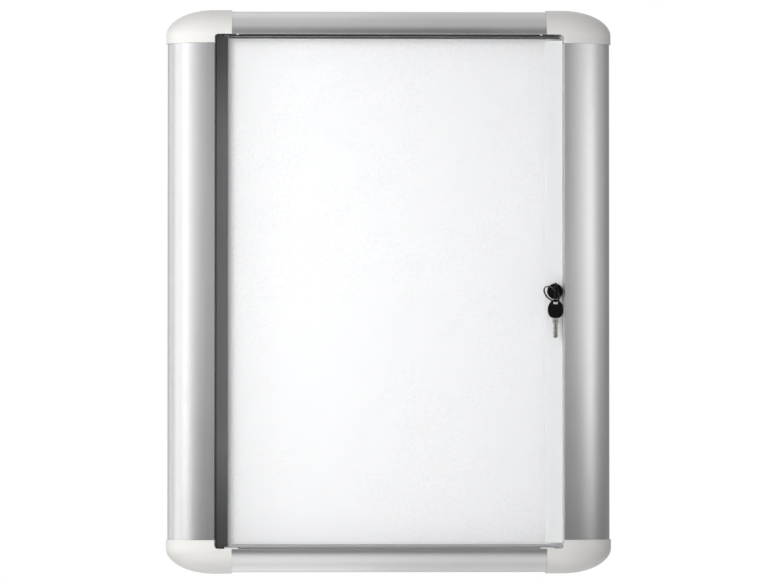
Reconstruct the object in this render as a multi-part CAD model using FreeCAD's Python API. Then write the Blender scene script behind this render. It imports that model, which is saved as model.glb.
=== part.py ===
import FreeCAD, Part
import math
import os

os.makedirs("parts", exist_ok=True)
Vector = FreeCAD.Vector

# A lockable notice board that hangs on a wall, in millimetres. X runs across, +Z is up, and the wall is
# the plane y = 0, so a depth d in front of the wall lies at y = -d. The origin is the centre of the back.

# Frame
OPENING_WIDTH = 488.0
OPENING_HEIGHT = 718.0
POST_FACE = 66.0
RAIL_FACE = 34.0
FRAME_DEPTH = 45.0
FRAME_EDGE_HEIGHT = 4.0
FRAME_WALL = 1.8
CREST_RADIUS = 1.2
RIB_THICKNESS = 2.0
POST_RIB_REACH = 2.5
RAIL_RIB_REACH = 6.0

# Board that fills the back of the case
FACE_SHEET = 0.8
CORE_BOARD = 7.7
BACKING_SHEET = 0.5
BOARD_CLEARANCE = 0.2
BOARD_OVERLAP = 9.0
GROOVE_DEPTH = 10.0

# Corner caps
CAP_PROUD = 2.0
CAP_WALL = 3.0
CAP_POST_LEG = 12.0
CAP_RAIL_LEG = 24.0
CAP_CORNER_RADIUS = 5.0
CAP_BOSS_RADIUS = 4.5
CAP_BOSS_PLACE = 11.0
SPIGOT_LENGTH = 15.0
SPIGOT_WALL = 2.5
SPIGOT_FIT = 0.3
SPIGOT_ROOT = 5.0
TAB_LENGTH = 9.0
TAB_ROOT = 10.0
TAB_THICKNESS = 1.5
TAB_DEPTH = 6.0

# Corner brackets and their screws
BRACKET_THICKNESS = 2.5
BRACKET_POST_WIDTH = 30.0
BRACKET_RAIL_WIDTH = 15.0
BRACKET_REACH = 33.0
BRACKET_POST_PLACE = 20.0
BRACKET_RAIL_PLACE = 13.0
BRACKET_CLEARANCE = 0.3
WALL_SCREW_PLACE = 32.0
WALL_SCREW_RISE = 18.5
WALL_HOLE_RADIUS = 2.75
WALL_PAD_RADIUS = 7.4
SCREW_RADIUS = 2.0
SCREW_HEAD_RADIUS = 3.7
SCREW_LENGTH = 8.0
SCREW_PLACE = 20.0
SCREW_CLEARANCE = 0.1
CAP_SCREW_LENGTH = 16.0
CAP_SCREW_HEAD = 1.5

# Door
DOOR_GAP = 3.0
LATCH_GAP = 1.5
PANE_THICKNESS = 4.0
PANE_SETBACK = 6.0
PANE_CORNER_RADIUS = 3.0
STRIP_WIDTH = 24.5
STRIP_THICKNESS = 4.0
STRIP_SHORTENING = 5.0
SEAL_THICKNESS = 1.7
SEAL_GAP = 0.3
SEAL_INSET = 0.4

# Hinge
PIVOT_INSET = 8.0
BARREL_RADIUS = 6.5
CHANNEL_REACH = 10.5
CHANNEL_FRONT_WALL = 2.2
CHANNEL_REAR_WALL = 1.8
PANE_SLOT_START = 3.6
WEDGE_THICKNESS = 1.3
WEDGE_SETBACK = 1.2
PIN_RADIUS = 2.5
PIN_IN_BARREL = 25.0
PIN_IN_BUSH = 10.0
BUSH_RADIUS = 4.0
BUSH_LENGTH = 11.5
BUSH_FLANGE_RADIUS = 5.8
THRUST_GAP = 0.2
RUNNING_FIT = 0.05
BOSS_WALL = 2.2

# Lock
LOCK_INSET = 12.7
COLLAR_RADIUS = 11.0
COLLAR_HEIGHT = 3.5
COLLAR_BEVEL = 1.2
RECESS_OUTER_RADIUS = 9.2
RECESS_INNER_RADIUS = 6.8
RECESS_DEPTH = 1.5
GASKET_THICKNESS = 0.5
LOCK_BODY_RADIUS = 8.0
LOCK_BODY_SHORTENING = 0.4
LOCK_HOLE_FIT = 0.1
PLUG_RADIUS = 5.5
TAIL_WIDTH = 7.0
TAIL_LENGTH = 2.8
TAIL_FIT = 0.05
WASHER_THICKNESS = 0.8
NUT_THICKNESS = 4.0
NUT_FLATS = 19.0
CAM_ROOM = 3.25
CAM_THICKNESS = 2.5
CAM_WIDTH = 13.0
CAM_LENGTH = 24.0
CAM_SCREW_RADIUS = 1.8
CAM_SCREW_LENGTH = 4.4
CAM_SCREW_HEAD_RADIUS = 3.6
CAM_SCREW_HEAD = 2.2
CAM_WASHER_RADIUS = 5.0
WAFER_COUNT = 5
WAFER_THICKNESS = 0.8
WAFER_WIDTH = 6.0
WAFER_FIRST = 3.6
WAFER_LAST = 6.1
WAFER_PLAY = 0.1

# Strike behind the cam slot of the latch post
CAM_SLOT_HEIGHT = 46.0
CAM_SLOT_WIDTH = 6.6
STRIKE_THICKNESS = 1.5
STRIKE_HEIGHT = 72.0
STRIKE_WIDTH = 11.5
STRIKE_LIP = 0.3
STRIKE_SCREW_SPACING = 58.0
STRIKE_SCREW_RADIUS = 1.5
STRIKE_SCREW_HEAD_RADIUS = 2.8
STRIKE_SCREW_LENGTH = 6.0

# Keys and key ring
KEY_THICKNESS = 2.0
KEY_BLADE_WIDTH = 6.2
KEYWAY_FLOOR = 1.7
KEY_SHOULDER_WIDTH = 8.0
KEY_SHOULDER_LENGTH = 7.0
KEY_TANG_LENGTH = 8.0
KEY_TANG_WIDTH = 7.0
KEY_CUT_DEPTH = 0.9
KEY_SHALLOW_CUT = 0.5
KEY_TIP_LENGTH = 2.5
KEY_GROOVE_WIDTH = 1.5
KEY_GROOVE_DEPTH = 0.5
KEY_GROOVE_END = 3.0
KEY_SEAT_GAP = 0.2
KEY_FIT = 0.15
HEAD_THICKNESS = 3.2
HEAD_LENGTH = 26.0
HEAD_WIDTH = 22.4
HEAD_BASE_WIDTH = 9.0
HEAD_LOW_WIDTH = 19.2
HEAD_LOW_RISE = 4.2
HEAD_WIDEST_RISE = 11.0
HEAD_HIGH_WIDTH = 19.6
HEAD_HIGH_DROP = 7.5
HEAD_CROWN_WIDTH = 11.0
HEAD_CROWN_DROP = 2.1
HEAD_RIM = 1.7
RING_HOLE_WIDTH = 7.4
RING_HOLE_LENGTH = 5.0
RING_RADIUS = 13.0
RING_WIRE_RADIUS = 0.9
RING_PLAY = 0.35
RING_TURN = 47.9
RING_LEAN = 36.7
RING_ROLL = 113.0
SPARE_KEY_TURN = 16.0

# Levels worked out from the sizes above
HALF_WIDTH = OPENING_WIDTH / 2
HALF_HEIGHT = OPENING_HEIGHT / 2
BOARD_THICKNESS = BACKING_SHEET + CORE_BOARD + FACE_SHEET
GROOVE_TOP = FRAME_WALL + BOARD_THICKNESS + 2 * BOARD_CLEARANCE
CORE_LEVEL = FRAME_WALL + BOARD_CLEARANCE + BACKING_SHEET
FACE_LEVEL = CORE_LEVEL + CORE_BOARD
PANE_FRONT = FRAME_DEPTH - PANE_SETBACK
PANE_REAR = PANE_FRONT - PANE_THICKNESS
STRIP_REAR = PANE_REAR - STRIP_THICKNESS
PANE_TOP = HALF_HEIGHT - DOOR_GAP
PANE_RIGHT = HALF_WIDTH - LATCH_GAP
STRIP_TOP = PANE_TOP - STRIP_SHORTENING
RAIL_RIB_FRONT = PANE_REAR - SEAL_GAP - SEAL_THICKNESS
POST_RIB_FRONT = STRIP_REAR - SEAL_GAP - SEAL_THICKNESS
PIVOT_X = PIVOT_INSET - HALF_WIDTH
PIVOT_DEPTH = PANE_REAR + PANE_THICKNESS / 2
POST_END = HALF_HEIGHT - CAP_POST_LEG
RAIL_END = HALF_WIDTH - CAP_RAIL_LEG
LOCK_X = HALF_WIDTH - LOCK_INSET
COLLAR_REAR = PANE_FRONT + GASKET_THICKNESS
COLLAR_FRONT = COLLAR_REAR + COLLAR_HEIGHT
PLUG_FRONT = COLLAR_FRONT - RECESS_DEPTH
CAM_REAR = GROOVE_TOP + FRAME_WALL + CAM_ROOM
CAM_MIDDLE = CAM_REAR + CAM_THICKNESS / 2
TAIL_REAR = CAM_REAR - TAIL_FIT
PLUG_REAR = TAIL_REAR + TAIL_LENGTH
WAFER_FRONT_REAR = PLUG_FRONT - WAFER_FIRST - WAFER_THICKNESS
WAFER_PITCH = (WAFER_FRONT_REAR - PLUG_REAR - WAFER_LAST) / (WAFER_COUNT - 1)
KEY_SEAT = PLUG_FRONT + KEY_SEAT_GAP
KEY_BLADE_LENGTH = KEY_SEAT - PLUG_REAR - KEYWAY_FLOOR
KEY_LENGTH = KEY_BLADE_LENGTH + KEY_SHOULDER_LENGTH + HEAD_LENGTH
RING_HOLE_FROM_TIP = KEY_LENGTH - HEAD_RIM - RING_HOLE_LENGTH / 2
OVERCUT = 1.0


def save(name, shape):
    """Write one named piece."""
    shape.exportStep("parts/" + name + ".step")


def box(x_range, d_range, z_range):
    """Block between two places across, two depths in front of the wall and two heights."""
    size_x = x_range[1] - x_range[0]
    size_d = d_range[1] - d_range[0]
    size_z = z_range[1] - z_range[0]
    return Part.makeBox(size_x, size_d, size_z, Vector(x_range[0], -d_range[1], z_range[0]))


def rod(x, z, radius, rear, front):
    """Round bar square to the wall."""
    return Part.makeCylinder(radius, front - rear, Vector(x, -rear, z), Vector(0, -1, 0))


def upright(x, depth, radius, low, high):
    """Round bar along the height."""
    return Part.makeCylinder(radius, high - low, Vector(x, -depth, low), Vector(0, 0, 1))


def moved(shape, x=0.0, depth=0.0, z=0.0):
    """Copy of a shape, shifted."""
    copy = shape.copy()
    copy.translate(Vector(x, -depth, z))
    return copy


def turned(shape, axis, angle, centre=Vector(0, 0, 0)):
    """Copy of a shape, turned about an axis by the right-hand rule."""
    copy = shape.copy()
    copy.rotate(centre, axis, angle)
    return copy


def mirrored_across(shape):
    """Copy for the other side, left for right."""
    return shape.mirror(Vector(0, 0, 0), Vector(1, 0, 0))


def mirrored_down(shape):
    """Copy for the other end, bottom for top."""
    return shape.mirror(Vector(0, 0, 0), Vector(0, 0, 1))


def flat(u, depth):
    """Point of a section, u outward from the edge of the opening."""
    return Vector(u, -depth, 0)


def oval_height(u, half_u, half_d):
    """Height of an ellipse over its centre line at the distance u from its centre."""
    return half_d * math.sqrt(1 - (u / half_u) ** 2)


def oval_arc(centre_u, centre_d, half_u, half_d, inner_u=0.0):
    """Arc of an ellipse from its outer end up to inner_u, counted from its centre."""
    centre = flat(centre_u, centre_d)
    outer = flat(centre_u + half_u, centre_d)
    crest = flat(centre_u, centre_d + half_d)
    ends = (outer, crest) if half_u >= half_d else (crest, outer)
    oval = Part.Ellipse(ends[0], ends[1], centre)
    inner = flat(centre_u + inner_u, centre_d + oval_height(inner_u, half_u, half_d))
    first, last = sorted((oval.parameter(outer), oval.parameter(inner)))
    if last - first > math.pi:
        first, last = last, first + 2 * math.pi
    return Part.ArcOfEllipse(oval, first, last).toShape()


def section(points, arcs):
    """Closed face from a run of straight lines and the arcs that join its ends."""
    edges = Part.makePolygon(points).Edges + arcs
    return Part.Face(Part.Wire(Part.__sortEdges__(edges)))


def quarter_section(half_u, half_d, centre_u=0.0, centre_d=0.0):
    """Quarter of an ellipse, flat along the wall side and along the opening side."""
    corner = flat(centre_u, centre_d)
    points = [flat(centre_u, centre_d + half_d), corner, flat(centre_u + half_u, centre_d)]
    return section(points, [oval_arc(centre_u, centre_d, half_u, half_d)])


def to_rail(shape):
    """Turn a piece built for an upright post, so that u points up and its length runs across."""
    return turned(shape, Vector(0, 1, 0), -90)


def frame_section_outside(face_width, rib_reach, rib_front):
    """Outside of a frame section, with its board groove and its stop rib."""
    rib_rear = rib_front - RIB_THICKNESS
    points = [
        flat(0, FRAME_DEPTH - CREST_RADIUS),
        flat(0, rib_front),
        flat(-rib_reach, rib_front),
        flat(-rib_reach, rib_rear),
        flat(0, rib_rear),
        flat(0, GROOVE_TOP),
        flat(GROOVE_DEPTH, GROOVE_TOP),
        flat(GROOVE_DEPTH, FRAME_WALL),
        flat(0, FRAME_WALL),
        flat(0, 0),
        flat(face_width, 0),
        flat(face_width, FRAME_EDGE_HEIGHT),
    ]
    half_u = face_width - CREST_RADIUS
    half_d = FRAME_DEPTH - FRAME_EDGE_HEIGHT
    front = oval_arc(CREST_RADIUS, FRAME_EDGE_HEIGHT, half_u, half_d)
    short = CREST_RADIUS * (1 - math.sqrt(0.5))
    crest = Part.Arc(
        flat(CREST_RADIUS, FRAME_DEPTH),
        flat(short, FRAME_DEPTH - short),
        flat(0, FRAME_DEPTH - CREST_RADIUS),
    ).toShape()
    return section(points, [front, crest])


def frame_section_hollow(face_width):
    """Hollow of a frame section."""
    half_u = face_width - FRAME_WALL - CREST_RADIUS
    half_d = FRAME_DEPTH - FRAME_EDGE_HEIGHT - FRAME_WALL
    inner_u = FRAME_WALL - CREST_RADIUS
    shoulder = GROOVE_DEPTH + FRAME_WALL
    points = [
        flat(FRAME_WALL, FRAME_EDGE_HEIGHT + oval_height(inner_u, half_u, half_d)),
        flat(FRAME_WALL, GROOVE_TOP + FRAME_WALL),
        flat(shoulder, GROOVE_TOP + FRAME_WALL),
        flat(shoulder, FRAME_WALL),
        flat(face_width - FRAME_WALL, FRAME_WALL),
        flat(face_width - FRAME_WALL, FRAME_EDGE_HEIGHT),
    ]
    return section(points, [oval_arc(CREST_RADIUS, FRAME_EDGE_HEIGHT, half_u, half_d, inner_u)])


def frame_length(face_width, rib_reach, rib_front, half_length):
    """One hollow frame section, centred along its length."""
    run = Vector(0, 0, 2 * half_length)
    outside = frame_section_outside(face_width, rib_reach, rib_front).extrude(run)
    hollow = frame_section_hollow(face_width).extrude(run)
    return moved(outside.cut(hollow), z=-half_length)


def countersunk_screw(radius, head_radius, length):
    """Screw along +Z from the flat top of its head, which is at z = 0."""
    head_height = head_radius - radius
    head = Part.makeCone(head_radius, radius, head_height)
    return head.fuse(Part.makeCylinder(radius, length)).removeSplitter()


def rear_screw(x, z):
    """Countersunk screw driven from behind, flush with the back."""
    screw = countersunk_screw(SCREW_RADIUS, SCREW_HEAD_RADIUS, SCREW_LENGTH)
    return moved(turned(screw, Vector(1, 0, 0), 90), x=x, z=z)


def rear_screw_hole(x, z):
    """Countersunk hole for a rear screw, with its clearance."""
    hole = countersunk_screw(
        SCREW_RADIUS + SCREW_CLEARANCE, SCREW_HEAD_RADIUS + SCREW_CLEARANCE, SCREW_LENGTH + SCREW_CLEARANCE
    )
    return moved(turned(hole, Vector(1, 0, 0), 90), x=x, z=z)


# Places of the screws, counted outward from the corner of the opening
POST_SCREW = (BRACKET_POST_PLACE + BRACKET_POST_WIDTH / 2, -CAP_POST_LEG - SCREW_PLACE)
RAIL_SCREW = (-CAP_RAIL_LEG - SCREW_PLACE, BRACKET_RAIL_PLACE + BRACKET_RAIL_WIDTH / 2)
WALL_SCREW = (WALL_SCREW_PLACE, WALL_SCREW_RISE)
CAP_SCREW = (CAP_BOSS_PLACE, BRACKET_RAIL_PLACE + BRACKET_RAIL_WIDTH / 2)


def make_posts():
    """Left and right posts, the right one with the slot for the cam."""
    post = moved(frame_length(POST_FACE, POST_RIB_REACH, POST_RIB_FRONT, POST_END), x=HALF_WIDTH)
    screw_x = HALF_WIDTH + POST_SCREW[0]
    screw_z = HALF_HEIGHT + POST_SCREW[1]
    for z in (screw_z, -screw_z):
        post = post.cut(rear_screw_hole(screw_x, z))
    save("left_post", mirrored_across(post))
    cam_slot = box(
        (HALF_WIDTH - OVERCUT, HALF_WIDTH + FRAME_WALL + OVERCUT),
        (CAM_MIDDLE - CAM_SLOT_WIDTH / 2, CAM_MIDDLE + CAM_SLOT_WIDTH / 2),
        (-CAM_SLOT_HEIGHT / 2, CAM_SLOT_HEIGHT / 2),
    )
    latch_post = post.cut(cam_slot)
    for screw in strike_screws(SCREW_CLEARANCE):
        latch_post = latch_post.cut(screw)
    save("right_post", latch_post)


def make_rails():
    """Top and bottom rails."""
    rail = to_rail(frame_length(RAIL_FACE, RAIL_RIB_REACH, RAIL_RIB_FRONT, RAIL_END))
    rail = moved(rail, z=HALF_HEIGHT)
    screw_x = HALF_WIDTH + RAIL_SCREW[0]
    screw_z = HALF_HEIGHT + RAIL_SCREW[1]
    for x in (screw_x, -screw_x):
        rail = rail.cut(rear_screw_hole(x, screw_z))
    save("top_rail", rail)
    save("bottom_rail", mirrored_down(rail))


def make_board():
    """White magnetic face sheet, core and backing sheet, held in the grooves of the frame."""
    width = (-HALF_WIDTH - BOARD_OVERLAP, HALF_WIDTH + BOARD_OVERLAP)
    height = (-HALF_HEIGHT - BOARD_OVERLAP, HALF_HEIGHT + BOARD_OVERLAP)
    save("backing_sheet", box(width, (CORE_LEVEL - BACKING_SHEET, CORE_LEVEL), height))
    save("core_board", box(width, (CORE_LEVEL, FACE_LEVEL), height))
    save("face_sheet", box(width, (FACE_LEVEL, FACE_LEVEL + FACE_SHEET), height))


def cap_form(half_x, half_z, half_d, post_leg, rail_leg, base):
    """Rounded corner form: an eighth of an ellipsoid with a quarter-round leg down the post and along the rail."""
    scale = FreeCAD.Matrix()
    scale.scale(half_x, half_d, half_z)
    ball = turned(Part.makeSphere(1, Vector(0, 0, 0), Vector(0, 0, 1), 0, 90, 90), Vector(0, 0, 1), -90)
    corner = ball.transformGeometry(scale)
    post_part = quarter_section(half_x, half_d).extrude(Vector(0, 0, -post_leg))
    rail_part = to_rail(quarter_section(half_z, half_d).extrude(Vector(0, 0, rail_leg)))
    crown = moved(corner.fuse([post_part, rail_part]), depth=FRAME_EDGE_HEIGHT)
    edge_height = FRAME_EDGE_HEIGHT - base
    plan = turned(quarter_section(half_x, half_z), Vector(1, 0, 0), -90)
    plinth = moved(plan.extrude(Vector(0, -edge_height, 0)), depth=base)
    post_base = box((0, half_x), (base, FRAME_EDGE_HEIGHT), (-post_leg, 0))
    rail_base = box((-rail_leg, 0), (base, FRAME_EDGE_HEIGHT), (0, half_z))
    return crown.fuse([plinth, post_base, rail_base]).removeSplitter()


def cap_hollow(half_x, half_z, half_d):
    """Inside of a cap, open at the back and at the end of each leg."""
    inside = cap_form(
        half_x - CAP_WALL,
        half_z - CAP_WALL,
        half_d - CAP_WALL,
        CAP_POST_LEG + OVERCUT,
        CAP_RAIL_LEG + OVERCUT,
        -OVERCUT,
    )
    reach = 2 * max(half_x, half_z, half_d)
    beside = box((CAP_WALL, reach), (-reach, reach), (-reach, reach))
    above = box((-reach, reach), (-reach, reach), (CAP_WALL, reach))
    return inside.common(beside.fuse(above))


def spigot(face_width, leg, outside):
    """Tongue of a cap that plugs into the end of a frame section, built for an upright post."""
    half_u = face_width - FRAME_WALL - CREST_RADIUS - SPIGOT_FIT
    half_d = FRAME_DEPTH - FRAME_EDGE_HEIGHT - FRAME_WALL - SPIGOT_FIT
    length = Vector(0, 0, -(SPIGOT_LENGTH + SPIGOT_ROOT))
    outer = quarter_section(half_u, half_d, CREST_RADIUS, FRAME_EDGE_HEIGHT).extrude(length)
    inner_u = half_u - SPIGOT_WALL
    inner_d = half_d - SPIGOT_WALL
    inner = quarter_section(inner_u, inner_d, CREST_RADIUS, FRAME_EDGE_HEIGHT).extrude(length)
    thick = quarter_section(half_u + CAP_WALL, half_d + CAP_WALL, CREST_RADIUS, FRAME_EDGE_HEIGHT)
    root = thick.extrude(Vector(0, 0, -SPIGOT_ROOT))
    tongue = outer.fuse(root).cut(inner)
    low_end = -leg + SPIGOT_ROOT
    crest_side = box((-OVERCUT, FRAME_WALL + SPIGOT_FIT), (0, FRAME_DEPTH), (-SPIGOT_LENGTH - leg, 0))
    return moved(tongue, z=low_end).cut(crest_side).common(outside)


def corner_web():
    """Rounding of the inner corner of the opening."""
    radius = CAP_CORNER_RADIUS
    near = radius * (1 - math.sqrt(0.5))
    arc = Part.Arc(Vector(-radius, 0, 0), Vector(-near, 0, -near), Vector(0, 0, -radius)).toShape()
    lines = Part.makePolygon([Vector(-radius, 0, 0), Vector(0, 0, 0), Vector(0, 0, -radius)]).Edges
    face = Part.Face(Part.Wire(Part.__sortEdges__(lines + [arc])))
    top = FRAME_DEPTH + CAP_PROUD
    base = GROOVE_TOP + BOARD_CLEARANCE
    return moved(face.extrude(Vector(0, base - top, 0)), depth=base)


def make_cap():
    """Top right corner cap without hinge boss, with the corner of the opening at the origin."""
    half_x = POST_FACE + CAP_PROUD
    half_z = RAIL_FACE + CAP_PROUD
    half_d = FRAME_DEPTH - FRAME_EDGE_HEIGHT + CAP_PROUD
    outside = cap_form(half_x, half_z, half_d, CAP_POST_LEG, CAP_RAIL_LEG, 0.0)
    board_room = GROOVE_DEPTH - BOARD_CLEARANCE
    board_recess = box(
        (-CAP_RAIL_LEG - OVERCUT, board_room),
        (-OVERCUT, GROOVE_TOP + BOARD_CLEARANCE),
        (-CAP_POST_LEG - OVERCUT, board_room),
    )
    shell = outside.cut(cap_hollow(half_x, half_z, half_d)).cut(board_recess)
    reach = 2 * half_x
    room = box((-reach, reach), (0, FRAME_DEPTH + CAP_PROUD), (-reach, half_z))
    post_outside = quarter_section(half_x, half_d, 0, FRAME_EDGE_HEIGHT).extrude(Vector(0, 0, -reach))
    rail_outside = to_rail(quarter_section(half_z, half_d, 0, FRAME_EDGE_HEIGHT).extrude(Vector(0, 0, reach)))
    post_spigot = spigot(POST_FACE, CAP_POST_LEG, post_outside)
    rail_tongue = spigot(RAIL_FACE, CAP_RAIL_LEG, turned(rail_outside, Vector(0, 1, 0), 90))
    rail_spigot = mirrored_across(to_rail(mirrored_down(rail_tongue)))
    boss_top = FRAME_EDGE_HEIGHT + half_d - CAP_WALL
    boss = rod(CAP_SCREW[0], CAP_SCREW[1], CAP_BOSS_RADIUS, FRAME_WALL + BRACKET_THICKNESS, boss_top)
    boss = boss.common(outside)
    tab = box(
        (-CAP_RAIL_LEG - TAB_LENGTH, -CAP_RAIL_LEG + TAB_ROOT),
        (PANE_FRONT, PANE_FRONT + TAB_DEPTH - CREST_RADIUS),
        (-TAB_THICKNESS, 0),
    )
    cap = shell.fuse([corner_web(), post_spigot, rail_spigot, boss, tab]).common(room)
    pilot_end = FRAME_WALL + BRACKET_THICKNESS + CAP_SCREW_LENGTH
    pilot = rod(CAP_SCREW[0], CAP_SCREW[1], SCREW_RADIUS + SCREW_CLEARANCE, 0, pilot_end)
    return cap.cut(pilot).removeSplitter(), outside


def hinge_boss(outside):
    """Boss for a hinge bush, in the frame of the cap."""
    place_x = -PIVOT_INSET
    radius = BUSH_RADIUS + BOSS_WALL
    boss = upright(place_x, PIVOT_DEPTH, radius, 0, BUSH_LENGTH + BOSS_WALL)
    return boss.common(outside)


def make_caps():
    """Four corner caps, those on the hinge side with a boss for the hinge bush."""
    cap, outside = make_cap()
    hinge_cap = cap.fuse(hinge_boss(outside))
    hinge_cap = hinge_cap.cut(upright(-PIVOT_INSET, PIVOT_DEPTH, BUSH_RADIUS, -OVERCUT, BUSH_LENGTH))
    hinge_cap = hinge_cap.cut(upright(-PIVOT_INSET, PIVOT_DEPTH, BUSH_FLANGE_RADIUS, -DOOR_GAP, 0))
    top_right = moved(cap, x=HALF_WIDTH, z=HALF_HEIGHT)
    top_left = mirrored_across(moved(hinge_cap.removeSplitter(), x=HALF_WIDTH, z=HALF_HEIGHT))
    save("corner_cap_top_right", top_right)
    save("corner_cap_bottom_right", mirrored_down(top_right))
    save("corner_cap_top_left", top_left)
    save("corner_cap_bottom_left", mirrored_down(top_left))


def make_bracket():
    """Steel corner bracket inside the top right corner, with the corner of the opening at the origin."""
    rear = FRAME_WALL
    front = FRAME_WALL + BRACKET_THICKNESS
    post_side = (BRACKET_POST_PLACE, BRACKET_POST_PLACE + BRACKET_POST_WIDTH)
    rail_side = (BRACKET_RAIL_PLACE, BRACKET_RAIL_PLACE + BRACKET_RAIL_WIDTH)
    post_leg = box(post_side, (rear, front), (-CAP_POST_LEG - BRACKET_REACH, rail_side[1]))
    rail_leg = box((-CAP_RAIL_LEG - BRACKET_REACH, post_side[1]), (rear, front), rail_side)
    pad = rod(WALL_SCREW[0], WALL_SCREW[1], WALL_PAD_RADIUS, 0, rear)
    corner = box((0, post_side[1]), (0, front), (0, rail_side[1]))
    half_x = POST_FACE + CAP_PROUD - CAP_WALL - BRACKET_CLEARANCE
    half_z = RAIL_FACE + CAP_PROUD - CAP_WALL - BRACKET_CLEARANCE
    plan = turned(quarter_section(half_x, half_z), Vector(1, 0, 0), -90)
    outside_cap = corner.cut(plan.extrude(Vector(0, -front, 0)))
    bracket = post_leg.fuse([rail_leg, pad]).cut(outside_cap)
    bracket = bracket.cut(rod(WALL_SCREW[0], WALL_SCREW[1], WALL_HOLE_RADIUS, -OVERCUT, front + OVERCUT))
    for place in (POST_SCREW, RAIL_SCREW, CAP_SCREW):
        hole = rod(place[0], place[1], SCREW_RADIUS + SCREW_CLEARANCE, 0, front + OVERCUT)
        bracket = bracket.cut(hole)
    return bracket.removeSplitter()


def four_corners(shape):
    """Copies of a piece of the top right corner at all four corners, with their names."""
    top_right = moved(shape, x=HALF_WIDTH, z=HALF_HEIGHT)
    top_left = mirrored_across(top_right)
    return {
        "top_right": top_right,
        "top_left": top_left,
        "bottom_right": mirrored_down(top_right),
        "bottom_left": mirrored_down(top_left),
    }


def make_brackets():
    """Corner brackets, their countersunk screws and the screws that hold the caps."""
    for corner, bracket in four_corners(make_bracket()).items():
        save("corner_bracket_" + corner, bracket)
    pair = Part.makeCompound([rear_screw(*POST_SCREW), rear_screw(*RAIL_SCREW)])
    save("bracket_screws", Part.makeCompound(list(four_corners(pair).values())))
    head_rear = FRAME_WALL - CAP_SCREW_HEAD
    head = rod(CAP_SCREW[0], CAP_SCREW[1], SCREW_HEAD_RADIUS, head_rear, FRAME_WALL)
    shank_end = FRAME_WALL + BRACKET_THICKNESS + CAP_SCREW_LENGTH - OVERCUT
    shank = rod(CAP_SCREW[0], CAP_SCREW[1], SCREW_RADIUS, FRAME_WALL, shank_end)
    screw = head.fuse(shank).removeSplitter()
    save("cap_screws", Part.makeCompound(list(four_corners(screw).values())))


def make_seals():
    """Soft strips on the stop ribs, which the closed door rests against."""
    rail_band = (-RAIL_RIB_REACH + SEAL_INSET, -SEAL_INSET)
    seal = box(
        (-RAIL_END, RAIL_END),
        (RAIL_RIB_FRONT, RAIL_RIB_FRONT + SEAL_THICKNESS),
        (HALF_HEIGHT + rail_band[0], HALF_HEIGHT + rail_band[1]),
    )
    save("top_seal", seal)
    save("bottom_seal", mirrored_down(seal))
    latch_seal = box(
        (HALF_WIDTH - POST_RIB_REACH, HALF_WIDTH - SEAL_INSET),
        (POST_RIB_FRONT, POST_RIB_FRONT + SEAL_THICKNESS),
        (-POST_END, POST_END),
    )
    save("latch_seal", latch_seal)


def make_hinge():
    """Hinge profile along the left edge of the pane, its pins and the bushes in the caps."""
    channel = (PANE_REAR - WEDGE_THICKNESS - CHANNEL_REAR_WALL, PANE_FRONT + CHANNEL_FRONT_WALL)
    barrel = upright(PIVOT_X, PIVOT_DEPTH, BARREL_RADIUS, -PANE_TOP, PANE_TOP)
    barrel_x = (PIVOT_X - BARREL_RADIUS, PIVOT_X + BARREL_RADIUS)
    barrel_rear = PIVOT_DEPTH - BARREL_RADIUS
    barrel = barrel.common(box(barrel_x, (barrel_rear, channel[1]), (-PANE_TOP, PANE_TOP)))
    arm = box((PIVOT_X, PIVOT_X + CHANNEL_REACH), channel, (-PANE_TOP, PANE_TOP))
    slot = box(
        (PIVOT_X + PANE_SLOT_START, PIVOT_X + CHANNEL_REACH + OVERCUT),
        (PANE_REAR - WEDGE_THICKNESS, PANE_FRONT),
        (-PANE_TOP - OVERCUT, PANE_TOP + OVERCUT),
    )
    bore = upright(PIVOT_X, PIVOT_DEPTH, PIN_RADIUS, -PANE_TOP - OVERCUT, PANE_TOP + OVERCUT)
    save("hinge_profile", barrel.fuse(arm).cut(slot).cut(bore).removeSplitter())
    wedge = box(
        (PIVOT_X + PANE_SLOT_START, PIVOT_X + CHANNEL_REACH - WEDGE_SETBACK),
        (PANE_REAR - WEDGE_THICKNESS, PANE_REAR),
        (-PANE_TOP, PANE_TOP),
    )
    save("pane_wedge", wedge)
    pin = upright(PIVOT_X, PIVOT_DEPTH, PIN_RADIUS, PANE_TOP - PIN_IN_BARREL, HALF_HEIGHT + PIN_IN_BUSH)
    save("hinge_pin_top", pin)
    save("hinge_pin_bottom", mirrored_down(pin))
    flange = upright(PIVOT_X, PIVOT_DEPTH, BUSH_FLANGE_RADIUS, PANE_TOP + THRUST_GAP, HALF_HEIGHT)
    sleeve = upright(PIVOT_X, PIVOT_DEPTH, BUSH_RADIUS, HALF_HEIGHT, HALF_HEIGHT + BUSH_LENGTH)
    pin_hole = upright(
        PIVOT_X, PIVOT_DEPTH, PIN_RADIUS + RUNNING_FIT, PANE_TOP, HALF_HEIGHT + PIN_IN_BUSH + RUNNING_FIT
    )
    bush = flange.fuse(sleeve).cut(pin_hole).removeSplitter()
    save("hinge_bush_top", bush)
    save("hinge_bush_bottom", mirrored_down(bush))


def lock_hole():
    """Hole for the lock through the pane and the closing strip."""
    return rod(LOCK_X, 0, LOCK_BODY_RADIUS + LOCK_HOLE_FIT, STRIP_REAR - OVERCUT, PANE_FRONT + OVERCUT)


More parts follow.
